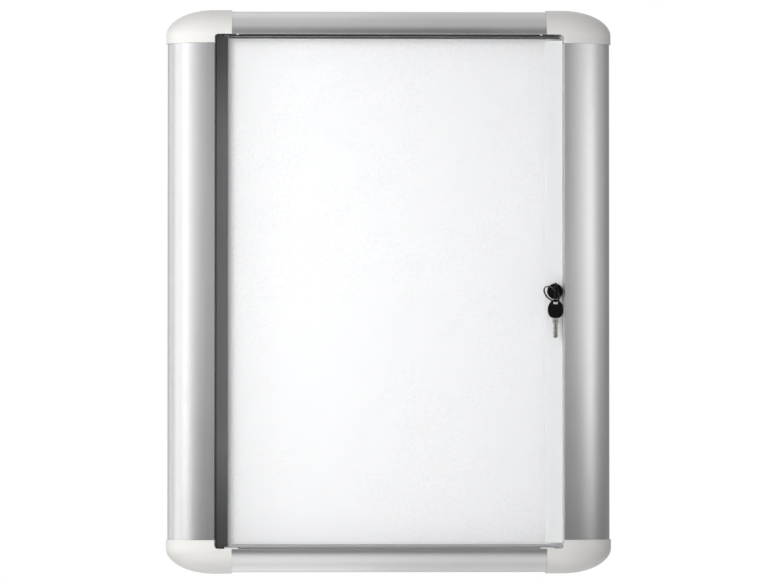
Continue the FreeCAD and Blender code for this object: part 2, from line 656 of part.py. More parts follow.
def make_pane():
    """Clear door pane and the clear strip that stiffens its free edge."""
    pane = box((PIVOT_X + PANE_SLOT_START, PANE_RIGHT), (PANE_REAR, PANE_FRONT), (-PANE_TOP, PANE_TOP))
    middle = PIVOT_X + PANE_SLOT_START
    corners = [
        edge
        for edge in pane.Edges
        if edge.BoundBox.YLength > PANE_THICKNESS / 2 and edge.BoundBox.XMin > middle + PANE_THICKNESS
    ]
    save("door_pane", pane.makeFillet(PANE_CORNER_RADIUS, corners).cut(lock_hole()))
    strip = box((PANE_RIGHT - STRIP_WIDTH, PANE_RIGHT), (STRIP_REAR, PANE_REAR), (-STRIP_TOP, STRIP_TOP))
    save("closing_strip", strip.cut(lock_hole()))


def make_lock_body():
    """Lock body with its collar, its gasket, washer and nut."""
    collar = rod(LOCK_X, 0, COLLAR_RADIUS, COLLAR_REAR, COLLAR_FRONT - COLLAR_BEVEL)
    bevel = Part.makeCone(
        COLLAR_RADIUS,
        COLLAR_RADIUS - COLLAR_BEVEL,
        COLLAR_BEVEL,
        Vector(LOCK_X, COLLAR_BEVEL - COLLAR_FRONT, 0),
        Vector(0, -1, 0),
    )
    body_rear = PLUG_REAR + LOCK_BODY_SHORTENING
    barrel = rod(LOCK_X, 0, LOCK_BODY_RADIUS, body_rear, COLLAR_REAR)
    recess = Part.makeCone(
        RECESS_INNER_RADIUS,
        RECESS_OUTER_RADIUS,
        RECESS_DEPTH,
        Vector(LOCK_X, RECESS_DEPTH - COLLAR_FRONT, 0),
        Vector(0, -1, 0),
    )
    bore = rod(LOCK_X, 0, PLUG_RADIUS + RUNNING_FIT, body_rear - OVERCUT, COLLAR_FRONT)
    save("lock_body", collar.fuse([bevel, barrel]).cut(recess).cut(bore).removeSplitter())
    opening = rod(LOCK_X, 0, LOCK_BODY_RADIUS + LOCK_HOLE_FIT, 0, COLLAR_FRONT)
    gasket = rod(LOCK_X, 0, COLLAR_RADIUS, PANE_FRONT, COLLAR_REAR)
    save("lock_gasket", gasket.cut(opening))
    washer_rear = STRIP_REAR - WASHER_THICKNESS
    washer = rod(LOCK_X, 0, NUT_FLATS / 2, washer_rear, STRIP_REAR)
    save("lock_washer", washer.cut(opening))
    corner_radius = NUT_FLATS / math.sqrt(3)
    points = []
    for step in range(7):
        angle = math.radians(60 * step + 30)
        points.append(Vector(corner_radius * math.cos(angle), 0, corner_radius * math.sin(angle)))
    hexagon = Part.Face(Part.makePolygon(points)).extrude(Vector(0, -NUT_THICKNESS, 0))
    nut = moved(hexagon, x=LOCK_X, depth=washer_rear - NUT_THICKNESS)
    save("lock_nut", nut.cut(opening))


def wafer_rears():
    """Rear face of each wafer, from the front one to the last."""
    return [WAFER_FRONT_REAR - WAFER_PITCH * number for number in range(WAFER_COUNT)]


def make_plug():
    """Lock plug with its keyway, the wafers in it, and the cam, washer and screw on its tail."""
    plug = rod(LOCK_X, 0, PLUG_RADIUS, PLUG_REAR, PLUG_FRONT)
    half_tail = TAIL_WIDTH / 2
    tail_x = (LOCK_X - half_tail, LOCK_X + half_tail)
    tail = box(tail_x, (TAIL_REAR, PLUG_REAR), (-half_tail, half_tail))
    half_way = KEY_THICKNESS / 2 + KEY_FIT
    half_high = KEY_BLADE_WIDTH / 2 + KEY_FIT
    keyway_x = (LOCK_X - half_way, LOCK_X + half_way)
    keyway_rear = KEY_SEAT - KEY_BLADE_LENGTH - KEY_FIT
    keyway = box(keyway_x, (keyway_rear, PLUG_FRONT + OVERCUT), (-half_high, half_high))
    screw_end = TAIL_REAR - WASHER_THICKNESS + CAM_SCREW_LENGTH
    plug = plug.fuse(tail).cut(keyway)
    plug = plug.cut(rod(LOCK_X, 0, CAM_SCREW_RADIUS, TAIL_REAR - OVERCUT, screw_end))
    half_wafer = WAFER_WIDTH / 2
    wafers = []
    for rear in wafer_rears():
        front = rear + WAFER_THICKNESS
        room_x = (LOCK_X - half_wafer - WAFER_PLAY, LOCK_X + half_wafer + WAFER_PLAY)
        room_z = (-PLUG_RADIUS - OVERCUT, PLUG_RADIUS + OVERCUT)
        plug = plug.cut(box(room_x, (rear - WAFER_PLAY, front + WAFER_PLAY), room_z))
        plate = box((LOCK_X - half_wafer, LOCK_X + half_wafer), (rear, front), room_z)
        disc = rod(LOCK_X, 0, PLUG_RADIUS - WAFER_PLAY, rear, front)
        wafers.append(plate.common(disc).cut(keyway))
    save("lock_plug", plug.removeSplitter())
    save("lock_wafers", Part.makeCompound(wafers))
    half_cam = CAM_WIDTH / 2
    cam_front = CAM_REAR + CAM_THICKNESS
    arm = box((LOCK_X - half_cam, LOCK_X + half_cam), (CAM_REAR, cam_front), (0, CAM_LENGTH - half_cam))
    heel = rod(LOCK_X, 0, half_cam, CAM_REAR, cam_front)
    toe = rod(LOCK_X, CAM_LENGTH - half_cam, half_cam, CAM_REAR, cam_front)
    seat = half_tail + TAIL_FIT
    socket = box((LOCK_X - seat, LOCK_X + seat), (CAM_REAR - OVERCUT, cam_front + OVERCUT), (-seat, seat))
    save("lock_cam", arm.fuse([heel, toe]).cut(socket).removeSplitter())
    washer_rear = TAIL_REAR - WASHER_THICKNESS
    washer = rod(LOCK_X, 0, CAM_WASHER_RADIUS, washer_rear, TAIL_REAR)
    save("cam_washer", washer.cut(rod(LOCK_X, 0, CAM_SCREW_RADIUS, washer_rear - OVERCUT, PLUG_REAR)))
    head = rod(LOCK_X, 0, CAM_SCREW_HEAD_RADIUS, washer_rear - CAM_SCREW_HEAD, washer_rear)
    shank = rod(LOCK_X, 0, CAM_SCREW_RADIUS, washer_rear, screw_end)
    save("cam_screw", head.fuse(shank).removeSplitter())


def strike_screws(clearance):
    """Countersunk screws that hold the strike plate inside the latch post, flush with its side."""
    screws = []
    for z in (-STRIKE_SCREW_SPACING / 2, STRIKE_SCREW_SPACING / 2):
        screw = countersunk_screw(
            STRIKE_SCREW_RADIUS + clearance, STRIKE_SCREW_HEAD_RADIUS + clearance, STRIKE_SCREW_LENGTH
        )
        screws.append(moved(turned(screw, Vector(0, 1, 0), 90), x=HALF_WIDTH, depth=CAM_MIDDLE, z=z))
    return screws


def make_strike():
    """Steel strike plate behind the cam slot, and its screws."""
    plate_x = (HALF_WIDTH + FRAME_WALL, HALF_WIDTH + FRAME_WALL + STRIKE_THICKNESS)
    slot_x = (plate_x[0] - OVERCUT, plate_x[1] + OVERCUT)
    plate_low = GROOVE_TOP + FRAME_WALL
    half_high = CAM_SLOT_HEIGHT / 2 - STRIKE_LIP
    half_deep = CAM_SLOT_WIDTH / 2 - STRIKE_LIP
    plate = box(plate_x, (plate_low, plate_low + STRIKE_WIDTH), (-STRIKE_HEIGHT / 2, STRIKE_HEIGHT / 2))
    slot = box(slot_x, (CAM_MIDDLE - half_deep, CAM_MIDDLE + half_deep), (-half_high, half_high))
    plate = plate.cut(slot)
    for screw in strike_screws(SCREW_CLEARANCE):
        plate = plate.cut(screw)
    save("strike_plate", plate)
    save("strike_screws", Part.makeCompound(strike_screws(0.0)))


def key_blade():
    """Steel blade with its shoulder and the tang inside the head, tip down at the origin."""
    half = KEY_BLADE_WIDTH / 2
    cut_side = [Vector(-half, 0, KEY_TIP_LENGTH)]
    first_cut = KEY_BLADE_LENGTH - (KEY_SEAT - wafer_rears()[-1])
    for number in range(WAFER_COUNT):
        middle = first_cut + WAFER_PITCH * number + WAFER_THICKNESS / 2
        depth = KEY_SHALLOW_CUT if number % 2 else KEY_CUT_DEPTH
        cut_side.append(Vector(-half, 0, middle - depth))
        cut_side.append(Vector(-half + depth, 0, middle))
        cut_side.append(Vector(-half, 0, middle + depth))
    shoulder = KEY_SHOULDER_WIDTH / 2
    tang = KEY_TANG_WIDTH / 2
    shoulder_top = KEY_BLADE_LENGTH + KEY_SHOULDER_LENGTH
    tang_top = shoulder_top + KEY_TANG_LENGTH
    outline = cut_side + [
        Vector(-half, 0, KEY_BLADE_LENGTH),
        Vector(-shoulder, 0, KEY_BLADE_LENGTH),
        Vector(-shoulder, 0, shoulder_top),
        Vector(-tang, 0, shoulder_top),
        Vector(-tang, 0, tang_top),
        Vector(tang, 0, tang_top),
        Vector(tang, 0, shoulder_top),
        Vector(shoulder, 0, shoulder_top),
        Vector(shoulder, 0, KEY_BLADE_LENGTH),
        Vector(half, 0, KEY_BLADE_LENGTH),
        Vector(half, 0, KEY_TIP_LENGTH),
    ]
    tip = Part.Arc(outline[-1], Vector(0, 0, 0), outline[0]).toShape()
    edges = Part.makePolygon(outline).Edges + [tip]
    blade = Part.Face(Part.Wire(Part.__sortEdges__(edges))).extrude(Vector(0, KEY_THICKNESS, 0))
    blade = moved(blade, depth=KEY_THICKNESS / 2)
    groove_x = (-KEY_GROOVE_WIDTH / 2, KEY_GROOVE_WIDTH / 2)
    groove_z = (-OVERCUT, shoulder_top - KEY_GROOVE_END)
    groove_floor = KEY_THICKNESS / 2 - KEY_GROOVE_DEPTH
    for groove_d in ((groove_floor, KEY_THICKNESS), (-KEY_THICKNESS, -groove_floor)):
        blade = blade.cut(box(groove_x, groove_d, groove_z))
    return blade


def key_head(blade):
    """Moulded oval head with the hole for the ring, round the tang of the blade."""
    base = KEY_BLADE_LENGTH + KEY_SHOULDER_LENGTH
    top = base + HEAD_LENGTH
    edges = []
    for side in (-0.5, 0.5):
        foot = Vector(side * HEAD_BASE_WIDTH, 0, base)
        low = Vector(side * HEAD_LOW_WIDTH, 0, base + HEAD_LOW_RISE)
        widest = Vector(side * HEAD_WIDTH, 0, base + HEAD_WIDEST_RISE)
        high = Vector(side * HEAD_HIGH_WIDTH, 0, top - HEAD_HIGH_DROP)
        brow = Vector(side * HEAD_CROWN_WIDTH, 0, top - HEAD_CROWN_DROP)
        edges.append(Part.Arc(foot, low, widest).toShape())
        edges.append(Part.Arc(widest, high, brow).toShape())
    half_base = HEAD_BASE_WIDTH / 2
    half_crown = HEAD_CROWN_WIDTH / 2
    edges.extend(Part.makePolygon([Vector(-half_base, 0, base), Vector(half_base, 0, base)]).Edges)
    crown_left = Vector(-half_crown, 0, top - HEAD_CROWN_DROP)
    crown_right = Vector(half_crown, 0, top - HEAD_CROWN_DROP)
    edges.append(Part.Arc(crown_left, Vector(0, 0, top), crown_right).toShape())
    face = Part.Face(Part.Wire(Part.__sortEdges__(edges)))
    head = moved(face.extrude(Vector(0, HEAD_THICKNESS, 0)), depth=HEAD_THICKNESS / 2)
    half_hole = RING_HOLE_WIDTH / 2
    hole_top = top - HEAD_RIM
    hole = box((-half_hole, half_hole), (-HEAD_THICKNESS, HEAD_THICKNESS), (hole_top - RING_HOLE_LENGTH, hole_top))
    return head.cut(hole).cut(blade)


def ring_places():
    """Hole of the inserted key, centre of the ring, lowest point of its wire and axis of the ring."""
    turn = math.radians(RING_TURN)
    lean = math.radians(RING_LEAN)
    roll = math.radians(RING_ROLL)
    down = Vector(math.sin(turn) * math.sin(lean), math.cos(turn) * math.sin(lean), -math.cos(lean))
    sideways = Vector(-math.cos(turn), math.sin(turn), 0)
    held = down * math.cos(roll) - sideways * math.sin(roll)
    key_hole = Vector(LOCK_X, -(KEY_SEAT - KEY_BLADE_LENGTH + RING_HOLE_FROM_TIP), 0)
    centre = key_hole - held * RING_RADIUS
    lowest = centre + down * RING_RADIUS
    return key_hole, centre, lowest, down.cross(sideways)


def make_keys():
    """Key in the lock, the ring through its head and the spare key that hangs from the ring."""
    key_hole, centre, lowest, axis = ring_places()
    blade = key_blade()
    head = key_head(blade)
    save("key_ring", Part.makeTorus(RING_RADIUS, RING_WIRE_RADIUS, centre, axis))
    spare_drop = RING_HOLE_LENGTH / 2 - RING_WIRE_RADIUS - RING_PLAY
    for name, piece in (("key_blade", blade), ("key_head", head)):
        from_hole = moved(piece, z=-RING_HOLE_FROM_TIP)
        level = turned(from_hole, Vector(1, 0, 0), 90)
        inserted = turned(level, Vector(0, 1, 0), 90)
        inserted.translate(key_hole)
        save("inserted_" + name, inserted)
        spare = turned(from_hole, Vector(0, 0, 1), SPARE_KEY_TURN)
        spare.translate(lowest - Vector(0, 0, spare_drop))
        save("spare_" + name, spare)


make_posts()
make_rails()
make_board()
make_caps()
make_brackets()
make_seals()
make_hinge()
make_pane()
make_lock_body()
make_plug()
make_strike()
make_keys()
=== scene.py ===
# %% [markdown]
# # A lockable notice board, dressed in Blender
# This lesson gives an engineer's solids of a wall-mounted notice board the look of the real thing: a white
# enamelled sheet behind a clear side-hinged door, in a wide silver frame with pale plastic corners, with a
# small black lock and two keys. The solids have the right sizes and places, so the work is light, materials
# and fine forms.

# %% Load the solids
import bpy
import bmesh
import math
from contextlib import contextmanager
from mathutils import Matrix, Vector


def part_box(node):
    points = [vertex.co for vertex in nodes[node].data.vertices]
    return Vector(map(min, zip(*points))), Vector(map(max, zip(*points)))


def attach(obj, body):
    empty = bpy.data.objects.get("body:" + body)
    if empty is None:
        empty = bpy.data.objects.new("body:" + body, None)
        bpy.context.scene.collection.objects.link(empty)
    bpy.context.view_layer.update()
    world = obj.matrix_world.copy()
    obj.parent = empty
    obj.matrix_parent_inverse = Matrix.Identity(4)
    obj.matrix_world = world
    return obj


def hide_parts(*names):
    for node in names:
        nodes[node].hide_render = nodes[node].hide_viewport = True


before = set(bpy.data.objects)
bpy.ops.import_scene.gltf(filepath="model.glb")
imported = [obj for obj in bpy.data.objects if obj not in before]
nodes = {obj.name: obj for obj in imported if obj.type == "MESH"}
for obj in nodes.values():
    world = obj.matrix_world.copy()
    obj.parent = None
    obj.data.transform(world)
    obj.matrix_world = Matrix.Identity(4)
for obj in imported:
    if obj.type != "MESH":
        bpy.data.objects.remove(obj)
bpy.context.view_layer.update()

# %% [markdown]
# ## Small helpers
# Blender keeps data, such as a mesh or a lamp, apart from the object that places it in the scene. Nodes are
# added from a dictionary: a value is set on the socket, and an output, or the first output of a node, is
# linked to it.

# %% Helpers for objects and nodes
def held(name, data):
    """An object in the scene that holds a mesh, a curve, a lamp or a camera."""
    holder = bpy.data.objects.new(name, data)
    bpy.context.scene.collection.objects.link(holder)
    return holder


def tuned(thing, **settings):
    """The thing with several of its settings set."""
    for name, value in settings.items():
        setattr(thing, name, value)
    return thing


def mesh_of(name, points=(), edges=(), faces=()):
    """A mesh from its points, edges and faces."""
    mesh = bpy.data.meshes.new(name)
    mesh.from_pydata(points, edges, faces)
    return mesh


def fill(tree, node, inputs):
    """Set or link the inputs of a node."""
    for name, value in inputs.items():
        if isinstance(value, bpy.types.Node):
            value = value.outputs[0]
        if isinstance(value, bpy.types.NodeSocket):
            tree.links.new(value, node.inputs[name])
        else:
            node.inputs[name].default_value = value


def add(tree, kind, inputs=None, **settings):
    """Add a node, set what it does, and fill its inputs."""
    node = tuned(tree.nodes.new(kind), **settings)
    fill(tree, node, inputs or {})
    return node


def maths(tree, operation, first, second=0.0):
    """A Math node on two values."""
    return add(tree, "ShaderNodeMath", {0: first, 1: second}, operation=operation)


def mapped(tree, value, source, target, **settings):
    """A Map Range node that takes one range to another."""
    limits = dict(zip(("From Min", "From Max", "To Min", "To Max"), (*source, *target)))
    return add(tree, "ShaderNodeMapRange", {"Value": value, **limits}, **settings)


def own_place(tree):
    """The object's own coordinates."""
    return add(tree, "ShaderNodeTexCoord").outputs["Object"]


def new_material(name):
    """A material and its node tree."""
    material = bpy.data.materials.new(name)
    material.use_nodes = True
    return material, material.node_tree


def set_shader(material, **inputs):
    """Set or link inputs of the material's Principled shader."""
    tree = material.node_tree
    sockets = {name.replace("_", " "): value for name, value in inputs.items()}
    fill(tree, tree.nodes["Principled BSDF"], sockets)


def set_surface(tree, shader):
    """Let a shader be the surface of a material."""
    fill(tree, tree.nodes["Material Output"], {"Surface": shader})


print("helpers ready")

# %% [markdown]
# ## Camera
# The board is seen from 7 m away through a long lens, nearly square from the front. The camera stands a
# little left of and below the middle, which shows a sliver of the inside faces at the right and at the top.

# %% Place the camera
PICTURE = (779, 584)
CAMERA_DISTANCE = 7.0
METRES_PER_PIXEL = 0.001403
BOARD_CENTRE = (388.6, 291.8)
camera_data = bpy.data.cameras.new("camera")
camera = held("camera", camera_data)
bpy.context.scene.camera = camera
camera.location = (-0.20, -CAMERA_DISTANCE, -0.15)
camera_data.sensor_width = 36.0
camera_data.lens = camera_data.sensor_width * CAMERA_DISTANCE / (PICTURE[0] * METRES_PER_PIXEL)
aim = Vector((PICTURE[0] / 2 - BOARD_CENTRE[0], 0, BOARD_CENTRE[1] - PICTURE[1] / 2)) * METRES_PER_PIXEL
camera.rotation_euler = (aim - camera.location).to_track_quat("-Z", "Y").to_euler()
camera_data.clip_end = 60.0
print("lens:", round(camera_data.lens, 1), "mm, aimed at", tuple(round(v, 4) for v in aim))

# %% [markdown]
# ## Ground and surroundings
# The ground is pure white. Camera, glossy and see-through rays meet the world at full strength, so metal and
# clear plastic show it too, while a calmer grey lights the matt surfaces.

# %% Build the world
AMBIENT_STRENGTH = 0.44
world = bpy.data.worlds.new("studio")
bpy.context.scene.world = world
world.use_nodes = True
tree = world.node_tree
tree.nodes.clear()
rays = add(tree, "ShaderNodeLightPath").outputs
shown = maths(tree, "MAXIMUM", rays["Is Camera Ray"], rays["Is Glossy Ray"])
shown = maths(tree, "MAXIMUM", shown, rays["Is Transmission Ray"])
ambient = add(tree, "ShaderNodeBackground", {"Color": (0.985, 0.99, 1.0, 1), "Strength": AMBIENT_STRENGTH})
backdrop = add(tree, "ShaderNodeBackground", {"Color": (1, 1, 1, 1), "Strength": 1.0})
blend = add(tree, "ShaderNodeMixShader", {0: shown, 1: ambient, 2: backdrop})
add(tree, "ShaderNodeOutputWorld", {"Surface": blend})
print("world: white ground, matt surfaces lit at", AMBIENT_STRENGTH)

# %% [markdown]
# ## Floor
# The board hangs on a wall, so the floor is a wide pale plane well below it. Camera rays see it partly as
# bright paper, which keeps it pale without more light on the board.

# %% Lay the floor
FLOOR_LEVEL = -1.35
FLOOR_SEEN_AS_PAPER = 0.6
corners = [(-4, -3, FLOOR_LEVEL), (4, -3, FLOOR_LEVEL), (4, 3, FLOOR_LEVEL), (-4, 3, FLOOR_LEVEL)]
floor = held("floor", mesh_of("floor", corners, faces=[(0, 1, 2, 3)]))
floor_finish, tree = new_material("pale_floor")
set_shader(floor_finish, Base_Color=(0.86, 0.86, 0.85, 1), Roughness=0.9)
rays = add(tree, "ShaderNodeLightPath").outputs
seen = maths(tree, "MULTIPLY", rays["Is Camera Ray"], FLOOR_SEEN_AS_PAPER)
paper = add(tree, "ShaderNodeEmission", {"Color": (0.93, 0.93, 0.92, 1), "Strength": 1.0})
set_surface(tree, add(tree, "ShaderNodeMixShader", {0: seen, 1: tree.nodes["Principled BSDF"], 2: paper}))
floor.data.materials.append(floor_finish)
print("floor at", FLOOR_LEVEL)

# %% [markdown]
# ## Lamps
# Matt and shiny surfaces ask for different lamps, so each soft box serves one kind. The key box, a little
# left of the camera, lights the white board and the plastic corners, and leaves the soft shadow of the
# hinge. Tall boxes round the board are there only for the metal to mirror: the front one on the left makes
# the bright line on the left post, and those behind the board lighten the outer flanks. The rails mirror
# wide boxes above and below, in two halves, because the light falls off to the right.

# %% Hang the soft boxes
def soft_box(name, place, width, height, power, mirrored=True, aim=(0, 0, 0)):
    """A rectangular lamp, for shiny surfaces to mirror or for matt ones."""
    lamp = bpy.data.lights.new(name, "AREA")
    tuned(lamp, shape="RECTANGLE", size=width, size_y=height, energy=power)
    facing = (Vector(place) - Vector(aim)).to_track_quat("Z", "Y").to_euler()
    holder = tuned(held(name, lamp), location=place, rotation_euler=facing)
    tuned(holder, visible_camera=False, visible_glossy=mirrored, visible_diffuse=not mirrored)


def round_the_board(angle, distance, height=0):
    """A place at an angle from straight ahead: minus is left."""
    swing = math.radians(angle)
    return (math.sin(swing) * distance, -math.cos(swing) * distance, height)


def over_the_board(angle, distance, x):
    """A place above the middle, at an angle from straight ahead: minus is below."""
    swing = math.radians(angle)
    return (x, -math.cos(swing) * distance, math.sin(swing) * distance)


BOX_DISTANCE = 1.5
UPRIGHT_BOXES = (
    ("left_front_box", -57, 0.27, 0.30, 1.4, 6.4),
    ("left_side_box", -80, 0, 0.34, 1.6, 5.1),
    ("left_rear_box", -110, 0, 0.30, 1.6, 3.2),
    ("right_front_box", 55, 0.08, 0.42, 0.8, 3.0),
    ("left_inner_box", -39, 0.45, 0.30, 1.2, 1.1),
    ("right_inner_box", 37, 0.45, 0.32, 1.2, 1.2),
)
for name, angle, level, width, height, power in UPRIGHT_BOXES:
    soft_box(name, round_the_board(angle, BOX_DISTANCE, level), width, height, power, aim=(0, 0, level))
RAIL_BOXES = (
    ("top_box", 69, 1.4, 0.9, (0.52, 0.25)),
    ("top_rear_box", 110, 1.4, 0.95, (0.85, 0.42)),
    ("low_box", -66, 1.25, 1.15, (1.6, 1.1)),
    ("low_rear_box", -114, 1.25, 1.05, (1.55, 1.0)),
)
for name, angle, distance, height, brightness in RAIL_BOXES:
    for half, x, bright in zip(("left", "right"), (-0.5, 0.5), brightness):
        place = over_the_board(angle, distance, x)
        soft_box(f"{name}_{half}", place, 1.0, height, bright * math.pi * height, aim=(x, 0, 0))
soft_box("key_box", (-0.45, -1.25, 0.1), 0.5, 1.5, 13.0, mirrored=False)
soft_box("side_fill_box", (-1.6, -0.5, 0.2), 0.6, 1.0, 7.0, mirrored=False)

# %% [markdown]
# ## A dark side of the room
# A studio is never white all round. Low in front of the board, to its right, and above, this room is darker,
# and the metal shows it. Curved curtains, met by glossy rays alone, play this part. Each fades from white at
# one edge to grey further off.

# %% Hang the curtains
CURTAIN_RADIUS = 1.56


def curtain(name, angles, white_level, grey_level, far_level, left_shade, right_shade):
    """A curved sheet that only metal mirrors; a shade is a place across and its grey."""
    places = [round_the_board(angle, CURTAIN_RADIUS) for angle in angles]
    points = [(x, y, level) for level in (far_level, white_level) for x, y, _ in places]
    count = len(places)
    mesh = mesh_of(name, points, faces=[(i, i + 1, count + i + 1, count + i) for i in range(count - 1)])
    sheet = held(name, mesh)
    tuned(sheet, visible_camera=False, visible_diffuse=False, visible_transmission=False, visible_shadow=False)
    material, tree = new_material(name)
    tree.nodes.remove(tree.nodes["Principled BSDF"])
    where = add(tree, "ShaderNodeSeparateXYZ", {0: own_place(tree)}).outputs
    grey = mapped(tree, where["X"], *zip(left_shade, right_shade))
    level = mapped(tree, where["Z"], (grey_level, white_level), (grey, 1.0))
    set_surface(tree, add(tree, "ShaderNodeEmission", {"Color": (1, 1, 1, 1), "Strength": level}))
    mesh.materials.append(material)
    print(name, "from", angles[0], "to", angles[-1], "degrees")


curtain("low_curtain", range(-40, 100, 5), -0.06, -0.45, -1.1, (-1.0, 0.4), (0.3, 0.25))
curtain("high_curtain", range(-15, 20, 5), 0.12, 0.36, 1.4, (-0.35, 1.0), (0.15, 0.15))
curtain("right_curtain", range(95, 150, 5), 1.8, 1.2, -1.4, (0, 0.55), (1, 0.55))

# %% [markdown]
# ## One helper for every finish
# Colour, roughness and bump of a finish come from noise on the object's own coordinates: a fine part for the
# grain, and a broad part for the slow unevenness of handling and dust. Stretched grain looks drawn or
# brushed. Thin curved marks, from the ridges of a warped cell pattern, are the hairlines of cleaning.

# %% Finish helper
NOISE_RANGE, BROAD_PATCH = (0.3, 0.7), 60


def finish(name, light, dark, rough, grain, stretch=(1, 1, 1), bump=0.1, depth=0.0001, marks=0.06, **steady):
    """Noise between two colours, a roughness range, a fine bump and hairline marks."""
    material, tree = new_material(name)
    set_shader(material, **steady)
    place = own_place(tree)
    spread = add(tree, "ShaderNodeMapping", {"Vector": place, "Scale": stretch})
    fine = add(tree, "ShaderNodeTexNoise", {"Vector": spread, "Scale": grain, "Detail": 3.0, "Roughness": 0.6})
    broad = add(tree, "ShaderNodeTexNoise", {
        "Vector": place, "Scale": grain / BROAD_PATCH, "Detail": 5.0, "Roughness": 0.55,
    })
    both = add(tree, "ShaderNodeMix", {0: 0.5, 2: fine, 3: broad}, data_type="FLOAT")
    tone = add(tree, "ShaderNodeValToRGB", {"Fac": both})
    for stop, position, colour in zip(tone.color_ramp.elements, NOISE_RANGE, (dark, light)):
        stop.position = position
        stop.color = (*colour, 1)
    warp = add(tree, "ShaderNodeTexNoise", {"Vector": place, "Scale": 14.0, "Detail": 1.0})
    bent = add(tree, "ShaderNodeMix", {0: 0.06, 4: place, 5: warp.outputs["Color"]}, data_type="VECTOR")
    cells = add(tree, "ShaderNodeTexVoronoi", {
        "Vector": bent.outputs[1], "Scale": 60.0,
    }, feature="DISTANCE_TO_EDGE")
    hairline = mapped(tree, cells, (0.0, 0.02), (marks, 0.0))
    worn = maths(tree, "ADD", mapped(tree, both, NOISE_RANGE, rough), hairline)
    relief = add(tree, "ShaderNodeBump", {"Strength": bump, "Distance": depth, "Height": fine})
    set_shader(material, Base_Color=tone, Roughness=worn, Normal=relief)
    return material


def dress(material, *names):
    """Give solids a finish."""
    for name in names:
        for slot in nodes[name].material_slots:
            slot.material = material
    print(material.name, "on", ", ".join(names))


# %% [markdown]
# ## Silver frame finish
# The posts and rails are aluminium, drawn through a die and anodised to a satin grey. The die leaves faint
# lines along the length. They also spread the reflections across the section, as the shader's anisotropy
# does when its tangent follows them.

# %% Finish the frame
def drawn_metal(name, along, stretch):
    """Satin anodised aluminium with its lines along one direction."""
    material = finish(
        name, (0.364, 0.364, 0.366), (0.334, 0.334, 0.336), (0.31, 0.37), 700,
        stretch=stretch, bump=0.12, depth=0.00005, Metallic=1.0, Anisotropic=0.5, Anisotropic_Rotation=0.25,
    )
    tangent = add(material.node_tree, "ShaderNodeCombineXYZ", {"X": along[0], "Y": along[1], "Z": along[2]})
    set_shader(material, Tangent=tangent)
    return material


anodised_post = drawn_metal("anodised_post", (0, 0, 1), (1, 1, 0.01))
anodised_rail = drawn_metal("anodised_rail", (1, 0, 0), (0.01, 1, 1))
print("frame finishes:", anodised_post.name, anodised_rail.name)

# %% [markdown]
# ## Plastic, rubber and enamel finishes
# The caps are a warm light grey plastic with a spark texture. The hinge profile is a dark plastic, with
# painted shade that darkens it towards both ends, under the caps; the seals are soft rubber, and the face of
# the board is white enamel on steel with the faint orange peel of a sprayed coat. Behind it lie a fibre
# core and a thin mill-finish sheet.

# %% Finish plastics and sheets
cap_plastic = finish(
    "cap_plastic", (0.70, 0.685, 0.665), (0.675, 0.66, 0.64), (0.42, 0.52), 1800, bump=0.15, depth=0.00003
)
hinge_plastic = finish(
    "hinge_plastic", (0.098, 0.098, 0.100), (0.077, 0.077, 0.079), (0.45, 0.55), 900,
    stretch=(1, 1, 0.02), bump=0.15, depth=0.00004, Specular_IOR_Level=0.25,
)
# Painted shade: the hinge colour is darkened towards both ends, where the caps shade it.
tree = hinge_plastic.node_tree
height = add(tree, "ShaderNodeSeparateXYZ", {0: own_place(tree)}).outputs["Z"]
painted_end_shade = mapped(
    tree, maths(tree, "ABSOLUTE", height), (0.20, 0.36), (1.0, 0.4), interpolation_type="SMOOTHSTEP"
)
tone = tree.nodes["Color Ramp"]
darker_ends = add(tree, "ShaderNodeVectorMath", {0: tone, "Scale": painted_end_shade}, operation="SCALE")
set_shader(hinge_plastic, Base_Color=darker_ends)
black_nylon = finish(
    "black_nylon", (0.02, 0.02, 0.02), (0.012, 0.012, 0.012), (0.5, 0.65), 1500, bump=0.2, depth=0.00003
)
grey_rubber, pale_rubber, black_rubber = [
    finish(name, light, dark, rough, 1500, bump=0.3, depth=0.00005)
    for name, light, dark, rough in (
        ("grey_rubber", (0.42, 0.42, 0.43), (0.36, 0.36, 0.37), (0.65, 0.8)),
        # The pale copy of the rubber is painted light: it brightens the shaded gap beside the latch.
        ("pale_rubber", (0.66, 0.66, 0.67), (0.58, 0.58, 0.59), (0.6, 0.75)),
        # The black copy of the rubber is painted shade: it darkens the top seal and the tabs of the upper caps.
        ("black_rubber", (0.035, 0.035, 0.035), (0.02, 0.02, 0.02), (0.6, 0.75)),
    )
]
white_enamel = finish(
    "white_enamel", (0.885, 0.887, 0.895), (0.875, 0.877, 0.885), (0.24, 0.32), 260,
    bump=0.05, depth=0.00003, marks=0.03, Coat_Weight=0.2, Coat_Roughness=0.12,
)
fibre_core = finish(
    "fibre_core", (0.56, 0.43, 0.28), (0.44, 0.33, 0.21), (0.85, 0.95), 900, bump=0.5, depth=0.0002
)
mill_sheet = finish(
    "mill_sheet", (0.62, 0.63, 0.64), (0.54, 0.55, 0.56), (0.32, 0.45), 500,
    stretch=(1, 1, 0.02), bump=0.1, depth=0.00005, Metallic=1.0,
)
dress(black_nylon, "hinge_bush_top", "hinge_bush_bottom", "lock_gasket")
dress(white_enamel, "face_sheet")
dress(fibre_core, "core_board")
dress(mill_sheet, "backing_sheet")
